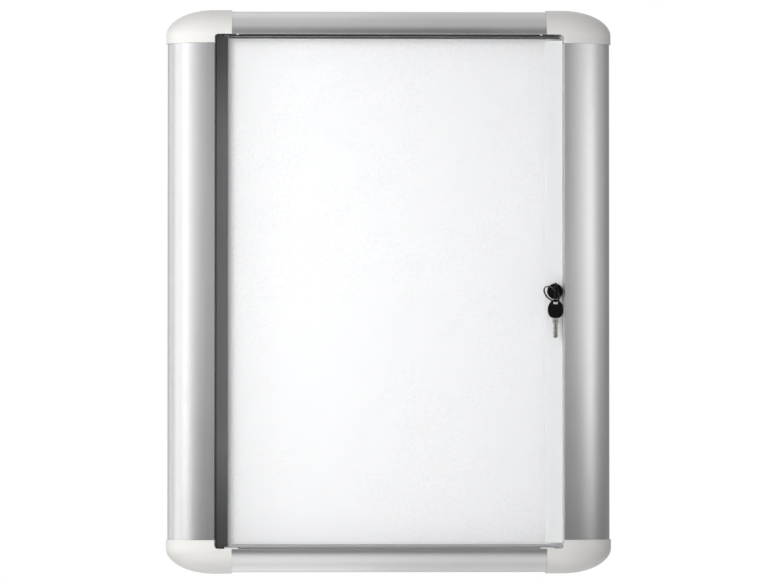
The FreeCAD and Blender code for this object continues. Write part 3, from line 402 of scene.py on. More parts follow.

# %% [markdown]
# ## Steel, lock and key finishes
# Brackets, screws and the cam are zinc plated, and cloudy. The lock is lacquered black. Key blades are
# nickel plated and dull with use; their grooves are darker, with painted shade and the dirt that stays
# there. The ring's spring steel is painted dark, a painted reflection of dark surroundings, and the key
# heads are black plastic.

# %% Finish metals
zinc_steel = finish(
    "zinc_steel", (0.60, 0.62, 0.64), (0.46, 0.47, 0.47), (0.28, 0.45), 420,
    bump=0.2, depth=0.00004, Metallic=1.0,
)
pin_steel = finish(
    "pin_steel", (0.58, 0.58, 0.59), (0.50, 0.50, 0.51), (0.2, 0.3), 1200,
    stretch=(1, 1, 0.05), bump=0.1, depth=0.00003, Metallic=1.0,
)
black_lacquer = finish(
    "black_lacquer", (0.007, 0.007, 0.008), (0.003, 0.003, 0.004), (0.2, 0.36), 900,
    bump=0.15, depth=0.00003, marks=0.12, Specular_IOR_Level=0.1, Coat_Weight=0.08, Coat_Roughness=0.12,
)
lock_brass = finish(
    "lock_brass", (0.62, 0.47, 0.22), (0.50, 0.37, 0.17), (0.25, 0.4), 900,
    bump=0.15, depth=0.00003, Metallic=1.0,
)
key_steel = finish(
    "key_steel", (0.36, 0.35, 0.32), (0.02, 0.019, 0.017), (0.2, 0.36), 420,
    bump=0.25, depth=0.00004, marks=0.15, Metallic=1.0,
)
# Darker steel for the key grooves: painted shade, with the dirt that stays there.
dull_steel = finish(
    "dull_steel", (0.10, 0.095, 0.085), (0.05, 0.048, 0.042), (0.4, 0.55), 900,
    bump=0.2, depth=0.00004, Metallic=0.8,
)
key_plastic = finish(
    "key_plastic", (0.004, 0.004, 0.0045), (0.002, 0.002, 0.0025), (0.3, 0.45), 2200,
    bump=0.25, depth=0.00004, Specular_IOR_Level=0.04,
)
# Painted reflection: the ring's colour is darkened to stand for the dark surroundings it mirrors.
ring_steel = finish(
    "ring_steel", (0.06, 0.06, 0.062), (0.03, 0.03, 0.032), (0.16, 0.28), 1500,
    bump=0.1, depth=0.00002, Metallic=1.0,
)
dress(pin_steel, "hinge_pin_top", "hinge_pin_bottom")
dress(zinc_steel, *[n for n in nodes if n.startswith("corner_bracket")])
dress(zinc_steel, "strike_plate", "lock_washer", "lock_nut", "lock_cam", "cam_washer")
dress(black_lacquer, "lock_plug")
dress(lock_brass, "lock_wafers")

# %% [markdown]
# ## Clear plastic
# Seen face on, a clean pane is nearly invisible, and its sawn edges look brighter and greyer, because light
# that enters the pane comes out there. So the faces and the edges get materials of their own, with a soft
# smudge pattern where hands have been. The closing strip behind the free edge is milky, and hides the cam of
# the lock.

# %% Finish the acrylic
def clear_plastic(name, colour, shade, rough, clear, smudged):
    """Clear acrylic whose opacity lies between two values, by a soft smudge pattern."""
    material = finish(name, colour, shade, rough, 60, bump=0.02, depth=0.00002, marks=0.02, IOR=1.49)
    tree = material.node_tree
    smudge = add(tree, "ShaderNodeTexNoise", {
        "Vector": own_place(tree), "Scale": 9.0, "Detail": 6.0, "Distortion": 0.8,
    })
    set_shader(material, Alpha=mapped(tree, smudge, (0.45, 0.75), (clear, smudged)))
    return material


clear_face = clear_plastic("clear_face", (0.96, 0.97, 0.98), (0.93, 0.95, 0.96), (0.02, 0.06), 0.02, 0.032)
clear_edge = clear_plastic("clear_edge", (0.86, 0.88, 0.89), (0.78, 0.81, 0.82), (0.10, 0.20), 0.35, 0.50)
milky_face = clear_plastic("milky_face", (0.90, 0.905, 0.91), (0.88, 0.885, 0.89), (0.15, 0.25), 0.86, 0.88)
print("acrylic finishes:", clear_face.name, clear_edge.name, milky_face.name)

# %% [markdown]
# ## From a shape to a finished piece
# Pieces are built in millimetres, because booleans and merges work best on numbers of that size. At the end
# the mesh is turned into its place and scaled to metres, while the object itself stays at the origin. Then
# it rides on a body and stands in for its solid.

# %% Helpers for finished pieces
MM = Matrix.Scale(0.001, 4)
MERGE_DISTANCE, FLAT_NORMAL = 0.002, 0.9999


def moved(x, y, z):
    """The matrix of a move."""
    return Matrix.Translation((x, y, z))


def turn(degrees, axis):
    """The matrix of a turn."""
    return Matrix.Rotation(math.radians(degrees), 4, axis)


@contextmanager
def edited(mesh):
    """The mesh opened as a BMesh, and written back at the end."""
    work = bmesh.new()
    work.from_mesh(mesh)
    yield work
    work.to_mesh(mesh)
    work.free()


def baked(shape):
    """The evaluated mesh of an object, which is then removed."""
    view = bpy.context.evaluated_depsgraph_get()
    mesh = bpy.data.meshes.new_from_object(shape.evaluated_get(view))
    shape.modifiers.clear()
    bpy.data.objects.remove(shape)
    return mesh


def tidied(mesh, sharp=35):
    """Merge doubles, turn the faces outwards, and shade smooth except on flats and sharp edges."""
    with edited(mesh) as work:
        bmesh.ops.remove_doubles(work, verts=work.verts, dist=MERGE_DISTANCE)
        bmesh.ops.recalc_face_normals(work, faces=work.faces)
        for face in work.faces:
            face.smooth = max(abs(part) for part in face.normal) < FLAT_NORMAL
        for edge in work.edges:
            edge.smooth = len(edge.link_faces) == 2 and edge.calc_face_angle(0) < math.radians(sharp)
    return mesh


def softened(mesh, width):
    """Round every sharp edge a little, as moulds and dies do."""
    shape = held("softened", mesh)
    bevel = tuned(shape.modifiers.new("bevel", "BEVEL"), width=width, segments=2)
    tuned(bevel, limit_method="ANGLE", angle_limit=math.radians(40))
    return tidied(baked(shape), 20)


def span(mesh):
    """Size of a mesh along each axis."""
    return tuple(max(v.co[i] for v in mesh.vertices) - min(v.co[i] for v in mesh.vertices) for i in range(3))


def settle(name, mesh, place, body, material, *solids):
    """Place and finish a mesh, let it ride on a body, and let it stand in for its solids."""
    mesh.transform(MM @ place)
    if material:
        mesh.materials.clear()
        mesh.materials.append(material)
    piece = held(name, mesh)
    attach(piece, body)
    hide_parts(*solids)
    wanted = [round((b - a) * 1000, 2) for a, b in zip(*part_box(solids[0]))]
    made = [round(v * 1000, 2) for v in span(mesh)]
    print(name, "is", made, "mm, its first solid", wanted, "with", len(mesh.polygons), "faces")


# %% [markdown]
# ## Running a Geometry Nodes tree
# A tree is a recipe with named inputs. The helper puts it on an object as a modifier, sets each input by its
# socket's identifier, and keeps the result as a plain mesh.

# %% Helpers for trees
def new_tree(name, **inputs):
    """An empty tree with a geometry input and output and the named inputs."""
    tree = bpy.data.node_groups.new(name, "GeometryNodeTree")
    tree.interface.new_socket("Geometry", in_out="OUTPUT", socket_type="NodeSocketGeometry")
    tree.interface.new_socket("Geometry", in_out="INPUT", socket_type="NodeSocketGeometry")
    for label, kind in inputs.items():
        tree.interface.new_socket(label, in_out="INPUT", socket_type="NodeSocket" + kind)
    return tree, tree.nodes.new("NodeGroupInput").outputs


def floats(*names):
    """Inputs that are plain numbers."""
    return dict.fromkeys(names, "Float")


def close_tree(tree, geometry, given):
    """End a tree with real faces and a finish."""
    real = add(tree, "GeometryNodeRealizeInstances", {"Geometry": geometry})
    dressed = add(tree, "GeometryNodeSetMaterial", {"Geometry": real, "Material": given["Finish"]})
    add(tree, "NodeGroupOutput", {"Geometry": dressed})


def grow(tree, seed, **values):
    """Run a tree on a mesh with the given input values."""
    shape = held(tree.name, seed)
    modifier = shape.modifiers.new(tree.name, "NODES")
    modifier.node_group = tree
    for socket in tree.interface.items_tree:
        if socket.in_out == "INPUT" and socket.name in values:
            modifier[socket.identifier] = values[socket.name]
    return baked(shape)


# %% [markdown]
# ## A recipe for drawn sections
# Posts, rails, seals and the hinge profile are each one drawing, pressed through a die. The recipe fills the
# closed lines of the drawing, pushes the face out by the length, closes the near end with a flipped copy,
# and cuts away any tools.

# %% Build the section recipe
tree, given = new_tree("drawn_section", Length="Float", Tools="Object", Finish="Material")
lines = add(tree, "GeometryNodeMeshToCurve", {"Mesh": given["Geometry"]})
end_face = add(tree, "GeometryNodeFillCurve", {"Curve": lines}, mode="NGONS")
drawn = add(tree, "GeometryNodeExtrudeMesh", {
    "Mesh": end_face, "Offset Scale": given["Length"], "Individual": False,
}, mode="FACES")
near_face = add(tree, "GeometryNodeFlipFaces", {"Mesh": end_face})
both_ends = add(tree, "GeometryNodeJoinGeometry", {0: drawn})
tree.links.new(near_face.outputs[0], both_ends.inputs[0])
closed = add(tree, "GeometryNodeMergeByDistance", {"Geometry": both_ends, "Distance": 0.001})
tools = add(tree, "GeometryNodeObjectInfo", {"Object": given["Tools"]}).outputs["Geometry"]
cut = add(tree, "GeometryNodeMeshBoolean", {"Mesh 1": closed, "Mesh 2": tools}, operation="DIFFERENCE")
close_tree(tree, cut, given)
section_tree = tree
print("recipe:", tree.name, "with", len(tree.nodes), "nodes")

# %% [markdown]
# ## Drawing with straight lines, arcs and eased corners
# A drawing is a list of points. An oval front comes from the ellipse rule, and a corner is eased by a short
# curve that touches both of its sides.

# %% Drawing helpers
ONCE_ROUND = (0, 352.5, 47)  # start, end and steps of an oval that closes on itself


def oval(centre, half, start, end, steps):
    """Points of an ellipse between two angles."""
    turns = [math.radians(start + (end - start) * i / steps) for i in range(steps + 1)]
    return [(centre[0] + half[0] * math.cos(t), centre[1] + half[1] * math.sin(t)) for t in turns]


def eased(points, radius, steps=3):
    """A closed outline with each corner rounded; a short side gets a smaller arc."""
    outline = []
    for number, point in enumerate(points):
        here = Vector(point)
        before = Vector(points[number - 1]) - here
        after = Vector(points[(number + 1) % len(points)]) - here
        angle = before.angle(after)
        if angle > math.radians(170):
            outline.append(point)
            continue
        reach = min(radius / math.tan(angle / 2), 0.45 * before.length, 0.45 * after.length)
        first = here + before.normalized() * reach
        last = here + after.normalized() * reach
        for step in range(steps + 1):
            t = step / steps
            bend = here * (2 * t * (1 - t)) + first * (1 - t) ** 2 + last * t ** 2
            outline.append((bend.x, bend.y))
    return outline


def drawing(*outlines):
    """A mesh of closed lines in the XY plane."""
    points, edges = [], []
    for outline in outlines:
        first = len(points)
        points.extend((x, y, 0) for x, y in outline)
        count = len(outline)
        edges.extend((first + i, first + (i + 1) % count) for i in range(count))
    return mesh_of("drawing", points, edges)


def blocks(*ranges):
    """A mesh of closed boxes, each between two corners."""
    mesh = mesh_of("blocks")
    with edited(mesh) as work:
        for low, high in ranges:
            size = Vector(high) - Vector(low)
            middle = (Vector(high) + Vector(low)) / 2
            bmesh.ops.create_cube(work, size=1, matrix=moved(*middle) @ Matrix.Diagonal((*size, 1)))
    return mesh


print("drawing helpers ready")

# %% [markdown]
# ## Posts and rails
# This is the main shape of the board: a quarter oval outside, a thin wall behind it, a groove that holds the
# board, and a small rib that the closed door rests against. Across is counted outward from the edge of the
# opening, and depth from the wall. Many steps on the oval let its reflections run clean from end to end.

# %% Draw the frame section
HALF_WIDTH, HALF_HEIGHT = 244.0, 359.0
DEPTH, EDGE, WALL, CREST = 45.0, 4.0, 1.8, 1.2
GROOVE, GROOVE_TOP = 10.0, 11.2
POST_END, RAIL_END = 347.0, 220.0
POST_STOP, RAIL_STOP, RIB_THICKNESS = 29.0, 33.0, 2.0
POST, RAIL = (66, 2.5, POST_STOP), (34, 6.0, RAIL_STOP)


def frame_drawing(section, side):
    """Outside and hollow of a post or rail; side is 1 or -1, the way that points outward."""
    face, rib, rib_front = section
    front = oval((CREST, EDGE), (face - CREST, DEPTH - EDGE), 90, 0, 72)
    crest = oval((CREST, DEPTH - CREST), (CREST, CREST), 180, 90, 5)[:-1]
    steps = [
        (face, 0), (0, 0), (0, WALL), (GROOVE, WALL), (GROOVE, GROOVE_TOP), (0, GROOVE_TOP),
        (0, rib_front - RIB_THICKNESS), (-rib, rib_front - RIB_THICKNESS), (-rib, rib_front), (0, rib_front),
    ]
    shoulder = GROOVE + WALL
    half = (face - WALL - CREST, DEPTH - EDGE - WALL)
    start = math.degrees(math.acos((WALL - CREST) / half[0]))
    hollow = oval((CREST, EDGE), half, start, 0, 48)
    hollow += [(face - WALL, WALL), (shoulder, WALL), (shoulder, GROOVE_TOP + WALL), (WALL, GROOVE_TOP + WALL)]
    return drawing(*[[(side * u, -d) for u, d in loop] for loop in (crest + front + steps, hollow)])


print("post drawing:", len(frame_drawing(POST, 1).vertices), "points")

# %% [markdown]
# ## Cutting the holes of the sections
# The rear faces take countersunk screws, and the right post has a slot for the cam of the lock. The tools
# are closed shapes, and the recipe itself cuts them.

# %% Make the cutting tools
TO_THE_WALL, TO_THE_ROOM, TO_THE_LEFT = turn(-90, "X"), turn(90, "X"), turn(-90, "Y")


def turned(profile, sides=48, closed=False):
    """Spin a profile of (radius, height) points round the Z axis."""
    points = []
    for radius, height in profile:
        for side in range(sides):
            angle = 2 * math.pi * side / sides
            points.append((radius * math.cos(angle), radius * math.sin(angle), height))
    faces = []
    rows = len(profile) if closed else len(profile) - 1
    for row in range(rows):
        here, above = row * sides, (row + 1) % len(profile) * sides
        for side in range(sides):
            beside = (side + 1) % sides
            faces.append((here + side, here + beside, above + beside, above + side))
    if not closed:
        faces.append(tuple(range(sides)))
        faces.append(tuple(range((len(profile) - 1) * sides, len(profile) * sides)))
    return tidied(mesh_of("turned", points, faces=faces))


def joined(*meshes):
    """Several placed meshes in one; each item is a mesh and its matrix."""
    whole = mesh_of("joined")
    with edited(whole) as work:
        for mesh, place in meshes:
            mesh.transform(place)
            work.from_mesh(mesh)
    return whole


def rear_hole(x, z):
    """Countersunk hole from behind, in the frame of the board."""
    hole = turned([(3.8, 0.5), (3.8, 0), (2.1, -1.7), (2.1, -9)], 32)
    return hole, moved(x, 0, z) @ TO_THE_WALL


POST_HOLES = ((HALF_WIDTH + 35, HALF_HEIGHT - 32), (HALF_WIDTH + 35, -HALF_HEIGHT + 32))
RAIL_HOLES = ((-HALF_WIDTH + 44, HALF_HEIGHT + 20.5), (HALF_WIDTH - 44, HALF_HEIGHT + 20.5))
CAM_DEPTH = 17.5
STRIKE_SCREWS = (-29.0, 29.0)
print("tools: rear holes at", POST_HOLES + RAIL_HOLES)

# %% Draw and cut the posts and rails
SLOT_HALF_WIDTH, SLOT_HALF_HEIGHT = 3.3, 23
FRAME_PARTS = (
    ("left_post", POST, -1), ("right_post", POST, 1), ("top_rail", RAIL, 1), ("bottom_rail", RAIL, -1),
)
for name, section, side in FRAME_PARTS:
    if section == POST:
        half_length, edge, lay, material = POST_END, HALF_WIDTH, Matrix(), anodised_post
        holes = [rear_hole(side * x, z) for x, z in POST_HOLES]
    else:
        half_length, edge, lay, material = RAIL_END, HALF_HEIGHT, TO_THE_LEFT, anodised_rail
        holes = [rear_hole(x, side * z) for x, z in RAIL_HOLES]
    place = lay @ moved(side * edge, 0, -half_length)
    if name == "right_post":
        near = (HALF_WIDTH - 1, -CAM_DEPTH - SLOT_HALF_WIDTH, -SLOT_HALF_HEIGHT)
        far = (HALF_WIDTH + WALL + 1, -CAM_DEPTH + SLOT_HALF_WIDTH, SLOT_HALF_HEIGHT)
        holes.append((blocks((near, far)), Matrix()))
        for z in STRIKE_SCREWS:
            sink = turned([(2.9, 0.5), (2.9, 0), (1.6, -1.3), (1.6, -7)], 32)
            holes.append((sink, moved(HALF_WIDTH, -CAM_DEPTH, z) @ TO_THE_LEFT))
    tools = held("tools", joined(*holes))
    tools.data.transform(place.inverted())
    outline = frame_drawing(section, side)
    mesh = grow(section_tree, outline, Length=2 * half_length, Tools=tools, Finish=material)
    bpy.data.objects.remove(tools)
    settle(name + "_section", softened(tidied(mesh, 25), 0.45), place, "case", None, name)

# %% [markdown]
# ## Corner caps
# The solids of the caps have the right form, so each is copied, and its edges are rounded a little: where it
# meets a rounded section, a fine dark joint appears beside a thin bright line. On the tabs of the upper caps,
# which stop the pane, the shade under the cap is painted black, and only their tips show light.

# %% Round the corner caps
TAB_START, TAB_END, TAB_DROP, TAB_REAR = 213.5, 230.5, 1.6, 38.9


def paint_tab_shade(mesh):
    """Paint the shade under the cap black on its stop tab, up to a bare tip."""
    with edited(mesh) as work:
        for start in (TAB_START, -TAB_START):
            whole = work.verts[:] + work.edges[:] + work.faces[:]
            bmesh.ops.bisect_plane(work, geom=whole, plane_co=(start, 0, 0), plane_no=(1, 0, 0))
        for face in work.faces:
            x, y, z = face.calc_center_median()
            below_edge = HALF_HEIGHT - TAB_DROP < z < HALF_HEIGHT - 0.02
            face.material_index = int(TAB_START < abs(x) < TAB_END and below_edge and -y > TAB_REAR)


for name in [n for n in nodes if n.startswith("corner_cap")]:
    mesh = nodes[name].data.copy()
    mesh.materials.clear()
    mesh.materials.append(cap_plastic)
    mesh.materials.append(black_rubber)
    mesh.transform(MM.inverted())
    with edited(mesh) as work:
        bmesh.ops.remove_doubles(work, verts=work.verts, dist=MERGE_DISTANCE)
        bmesh.ops.dissolve_limit(work, angle_limit=math.radians(0.3), verts=work.verts, edges=work.edges)
    mesh = softened(mesh, 0.5)
    # Painted shade, on the upper caps only, where the cap shades the tab.
    if "top" in name:
        paint_tab_shade(mesh)
    settle(name + "_moulded", mesh, Matrix(), "case", None, name)

# %% [markdown]
# ## Seals, wedge and hinge profile
# The same recipe makes the soft strips that the door closes on, each with three small lips, and the dark
# hinge profile: a round barrel with a flat front, and a channel that grips the edge of the pane with a
# toothed rubber wedge. The eased corners of the drawing suit extruded plastic.

# %% Draw the seals
def lipped(low, high, base, thickness, flip=1):
    """Outline of a strip whose front has three rounded lips."""
    width = high - low
    front = []
    for lip in range(3):
        middle = low + width * (lip + 0.5) / 3
        front += oval((middle, base + thickness - 0.7), (width / 6 - 0.05, 0.7), 180, 0, 8)
    return [(flip * u, -d) for u, d in [(low, base)] + front + [(high, base)]]


no_tools = held("no_tools", blocks(((900, 900, 900), (901, 901, 901))))
SEAL, UNDER_THE_CAPS = 1.7, (-238.8, 224.5)


def extruded(name, outlines, ends, lay, body, material, solid, sharp):
    """A piece with one drawing between two ends, laid in its direction."""
    mesh = grow(section_tree, drawing(*outlines), Length=ends[1] - ends[0], Tools=no_tools, Finish=material)
    settle(name, tidied(mesh, sharp), lay @ moved(0, 0, ends[0]), body, None, solid)


# The top seal gets the black copy of the rubber, a painted shadow under the top rail; the bottom seal keeps the
# grey.
for name, flip, rubber in (("top_seal", 1, black_rubber), ("bottom_seal", -1, grey_rubber)):
    outline = lipped(HALF_HEIGHT - 5.6, HALF_HEIGHT - 0.4, RAIL_STOP, SEAL, flip)
    extruded(name + "_strip", [outline], UNDER_THE_CAPS, TO_THE_LEFT, "case", rubber, name, 40)
FIN_LEFT, FIN_HALF, FIN_DEPTH = HALF_WIDTH - 1.0, 0.4, 42.2
fin = oval((FIN_LEFT + FIN_HALF, FIN_DEPTH), (FIN_HALF, FIN_HALF), 180, 0, 8)
outline = lipped(HALF_WIDTH - 2.5, FIN_LEFT, POST_STOP, SEAL)[:-1] + [(FIN_LEFT, -30.2)]
outline += [(u, -d) for u, d in fin] + [(FIN_LEFT + 2 * FIN_HALF, -POST_STOP)]
# The latch seal gets the pale copy of the rubber, painted light in the narrow gap at the free edge of the door.
extruded("latch_seal_strip", [outline], (-POST_END, POST_END), Matrix(), "case", pale_rubber, "latch_seal", 40)

# %% Draw the hinge profile and its wedge
PIVOT_X, PIVOT_DEPTH, BARREL = -236.0, 37.0, 6.5
PANE_TOP, PANE_REAR, PANE_FRONT = 356.0, 35.0, 39.0
PANE_LEFT, PANE_RIGHT = PIVOT_X + 3.6, HALF_WIDTH - 1.5
CHANNEL_RIGHT, CHANNEL_REAR, CHANNEL_FRONT, WEDGE = PIVOT_X + 10.5, 31.9, 41.2, 1.3
front_turn = 180 - math.degrees(math.asin((CHANNEL_FRONT - PIVOT_DEPTH) / BARREL))
rear_turn = 360 - math.degrees(math.asin((PIVOT_DEPTH - CHANNEL_REAR) / BARREL))
barrel = oval((PIVOT_X, PIVOT_DEPTH), (BARREL, BARREL), front_turn, rear_turn, 40)
grip = eased([
    (CHANNEL_RIGHT, CHANNEL_REAR), (CHANNEL_RIGHT, PANE_REAR - WEDGE),
    (PANE_LEFT, PANE_REAR - WEDGE), (PANE_LEFT, PANE_FRONT),
    (CHANNEL_RIGHT, PANE_FRONT), (CHANNEL_RIGHT, CHANNEL_FRONT), (PIVOT_X, CHANNEL_FRONT),
], 0.35)
bore = oval((PIVOT_X, PIVOT_DEPTH), (2.5, 2.5), *ONCE_ROUND)
flipped = [[(x, -d) for x, d in loop] for loop in (barrel + grip[1:-1], bore)]
DOOR_ENDS = (-PANE_TOP, PANE_TOP)
extruded("hinge_profile_section", flipped, DOOR_ENDS, Matrix(), "door", hinge_plastic, "hinge_profile", 30)
teeth = [(PANE_LEFT, PANE_REAR), (PANE_LEFT, PANE_REAR - WEDGE)]
for tooth in range(4):
    start = PANE_LEFT + 0.3 + WEDGE * tooth
    teeth += [(start, PANE_REAR - 0.9), (start + 1.2, PANE_REAR - WEDGE)]
teeth += [(PANE_LEFT + 5.7, PANE_REAR - 1.0), (PANE_LEFT + 5.7, PANE_REAR)]
outline = [(x, -d) for x, d in teeth]
extruded("pane_wedge_strip", [outline], DOOR_ENDS, Matrix(), "door", grey_rubber, "pane_wedge", 30)

# %% [markdown]
# ## Door pane and closing strip
# A flat curve with a little bevel is the quickest way to a plate: the outline is the sawn edge, the inner
# outline the hole for the lock, and the bevel the chamfer that the polisher leaves. Faces that look sideways
# get the edge finish.

# %% Cut the clear plates
LOCK_X, LOCK_HOLE = 231.3, 8.1
STRIP_WIDTH, STRIP_THICKNESS, STRIP_SHORT, GLUE_LINE = 24.5, 4.0, 5.0, 0.1


def circle(x, y, radius, steps=48):
    """Round hole, its points the other way round from an outline."""
    return oval((x, y), (radius, radius), 360, 360 / steps, steps - 1)


def box(left, right, low, high):
    """The four corners of an upright rectangle."""
    return [(left, low), (right, low), (right, high), (left, high)]


def plate(outlines, thickness, chamfer, steps=1):
    """A flat plate in the XY plane from a rim and its holes, with eased edges."""
    curve = bpy.data.curves.new("plate", "CURVE")
    tuned(curve, dimensions="2D", fill_mode="BOTH", extrude=thickness / 2 - chamfer)
    tuned(curve, bevel_depth=chamfer, bevel_resolution=steps, offset=-chamfer)
    for outline in outlines:
        spline = curve.splines.new("POLY")
        spline.points.add(len(outline) - 1)
        for point, (x, y) in zip(spline.points, outline):
            point.co = (x, y, 0, 1)
        spline.use_cyclic_u = True
    return tidied(baked(held("plate", curve)), 20)


def clear_plate(name, outline, rear, front, face_finish, solid):
    """An upright clear plate, its faces and edges in two finishes."""
    mesh = plate([outline, circle(LOCK_X, 0, LOCK_HOLE)], front - rear, 0.3)
    settle(name, mesh, moved(0, -(front + rear) / 2, 0) @ TO_THE_ROOM, "door", face_finish, solid)
    mesh.materials.append(clear_edge)
    for polygon in mesh.polygons:
        polygon.material_index = 0 if abs(polygon.normal.y) > 0.95 else 1


pane_outline = eased(box(PANE_LEFT, PANE_RIGHT, -PANE_TOP, PANE_TOP), 3.0, 8)
clear_plate("clear_pane", pane_outline, PANE_REAR, PANE_FRONT, clear_face, "door_pane")
strip_outline = box(PANE_RIGHT - STRIP_WIDTH, PANE_RIGHT, -PANE_TOP + STRIP_SHORT, PANE_TOP - STRIP_SHORT)
strip_rear, strip_front = PANE_REAR - STRIP_THICKNESS, PANE_REAR - GLUE_LINE
clear_plate("milky_closing_strip", strip_outline, strip_rear, strip_front, milky_face, "closing_strip")

# %% [markdown]
# ## A recipe for screws
# The recipe takes the outline of a screw as a line of points that carry a radius, sweeps a circle along it,
# cuts the cross, and sets a copy on every point of another object, so one recipe serves every kind of screw
# here.

# %% Build the screw recipe
cross_sizes = floats("Cross_Length", "Cross_Width", "Cross_Depth")
tree, given = new_tree("driven_screws", Places="Object", Finish="Material", **cross_sizes)
axis = add(tree, "GeometryNodeMeshToCurve", {"Mesh": given["Geometry"]})
radius = add(tree, "GeometryNodeInputNamedAttribute", {"Name": "radius_here"}, data_type="FLOAT")
circle_line = add(tree, "GeometryNodeCurvePrimitiveCircle", {"Resolution": 28, "Radius": 1.0})
shank = add(tree, "GeometryNodeCurveToMesh", {
    "Curve": axis, "Profile Curve": circle_line, "Scale": radius, "Fill Caps": True,
})
deep = maths(tree, "MULTIPLY", given["Cross_Depth"], 2.0)
bars = []
for across, along in (("Cross_Length", "Cross_Width"), ("Cross_Width", "Cross_Length")):
    size = add(tree, "ShaderNodeCombineXYZ", {"X": given[across], "Y": given[along], "Z": deep})
    bars.append(add(tree, "GeometryNodeMeshCube", {"Size": size}))
stamped = add(tree, "GeometryNodeMeshBoolean", {"Mesh 1": shank, "Mesh 2": bars[0]}, operation="DIFFERENCE")
tree.links.new(bars[1].outputs[0], stamped.inputs["Mesh 2"])
places = add(tree, "GeometryNodeObjectInfo", {"Object": given["Places"]}).outputs["Geometry"]
copies = add(tree, "GeometryNodeInstanceOnPoints", {"Points": places, "Instance": stamped})
close_tree(tree, copies, given)
screw_tree = tree
print("recipe:", tree.name, "with", len(tree.nodes), "nodes")

# %% [markdown]
# ## Screws of the frame and the lock
# A countersunk head is a cone that sinks flush, and a pan head is a low dome. The outline runs from the top
# of the head to the tip, with the thread as fine rings.

# %% Drive the screws
def threaded(radius, start, end, pitch=0.7):
    """Points down a threaded shank, crest and root in turn, to a short tip."""
    points, height = [], start
    while height > end + 1.5:
        points += [(radius, height - pitch * 0.25), (radius - 0.22, height - pitch * 0.75)]
        height -= pitch
    return points + [(radius - 0.25, end + 0.8), (radius * 0.45, end)]


def axis_line(profile):
    """A line of points down the axis, each with its radius."""
    edges = [(i, i + 1) for i in range(len(profile) - 1)]
    mesh = mesh_of("axis", [(0, 0, height) for _, height in profile], edges)
    store = mesh.attributes.new("radius_here", "FLOAT", "POINT")
    store.data.foreach_set("value", [r for r, _ in profile])
    return mesh


SIGNS = [(sx, sz) for sx in (1, -1) for sz in (1, -1)]
low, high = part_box("cam_screw")
head_top, screw_length = high[1] * 1000, (high[1] - low[1]) * 1000
SCREWS = (
    ("bracket_screw_set", "bracket_screws", "case", TO_THE_WALL, (3.6, 0.8, 1.2),
     [(3.5, -0.001), (3.7, -0.15), (2.0, -1.7)], (2.0, -2.0, -8.0),
     [(sx * x, -sz * z, 0) for sx, sz in SIGNS for x, z in (POST_HOLES[0], RAIL_HOLES[1])]),
    ("cap_screw_set", "cap_screws", "case", TO_THE_WALL, (3.4, 0.8, 1.0),
     [(1.9, -0.001), (2.9, -0.12), (3.5, -0.5), (3.7, -1.0), (3.7, -1.5), (2.0, -1.52)], (2.0, -1.8, -19.0),
     [(sx * (HALF_WIDTH + 11), sz * (HALF_HEIGHT + 20.5), -0.3) for sx, sz in SIGNS]),
    ("strike_screw_set", "strike_screws", "case", TO_THE_LEFT, (2.8, 0.6, 0.9),
     [(2.6, -0.001), (2.8, -0.12), (1.5, -1.3)], (1.5, -1.6, -6.0, 0.5),
     [(z, -CAM_DEPTH, -HALF_WIDTH) for z in STRIKE_SCREWS]),
    ("cam_screw_turned", "cam_screw", "lock_barrel", TO_THE_WALL, (3.2, 0.8, 1.2),
     [(2.4, -0.001), (3.2, -0.25), (3.6, -0.9), (3.6, -2.2), (1.8, -2.21)], (1.8, -2.4, -screw_length, 0.6),
     [(LOCK_X, 0, head_top)]),
)
for name, solid, body, lay, (length, width, deep), head, shank, places in SCREWS:
    holder = held("spots", mesh_of("spots", places))
    mesh = grow(
        screw_tree, axis_line(head + threaded(*shank)), Places=holder,
        Cross_Length=length, Cross_Width=width, Cross_Depth=deep, Finish=zinc_steel,
    )
    bpy.data.objects.remove(holder)
    settle(name, tidied(mesh, 30), lay, body, None, solid)

# %% [markdown]
# ## A recipe for a thread
# The barrel of the lock is threaded for its nut. A thread is a bead that follows a spiral, so a spiral curve
# is swept with a small circle.

# %% Build the thread recipe
def even_spiral(tree, given, resolution, height):
    """A spiral whose radius stays the same."""
    return add(tree, "GeometryNodeCurveSpiral", {
        "Resolution": resolution, "Rotations": given["Turns"], "Height": height,
        "Start Radius": given["Radius"], "End Radius": given["Radius"],
    })


tree, given = new_tree("thread", Finish="Material", **floats("Radius", "Turns", "Pitch", "Crest"))
rise = maths(tree, "MULTIPLY", given["Turns"], given["Pitch"])
spiral = even_spiral(tree, given, 40, rise)
bead = add(tree, "GeometryNodeCurvePrimitiveCircle", {"Resolution": 6, "Radius": given["Crest"]})
swept = add(tree, "GeometryNodeCurveToMesh", {"Curve": spiral, "Profile Curve": bead, "Fill Caps": True})
close_tree(tree, swept, given)
thread_tree = tree
print("recipe:", tree.name, "with", len(tree.nodes), "nodes")

# %% [markdown]
# ## Lock body
# The lock is a die-cast cylinder with a collar on a thin gasket. The collar has a rounded shoulder and a
# shallow dish round the plug, and both catch the light as thin arcs. One profile is spun round the axis, and
# the thread is added to it.

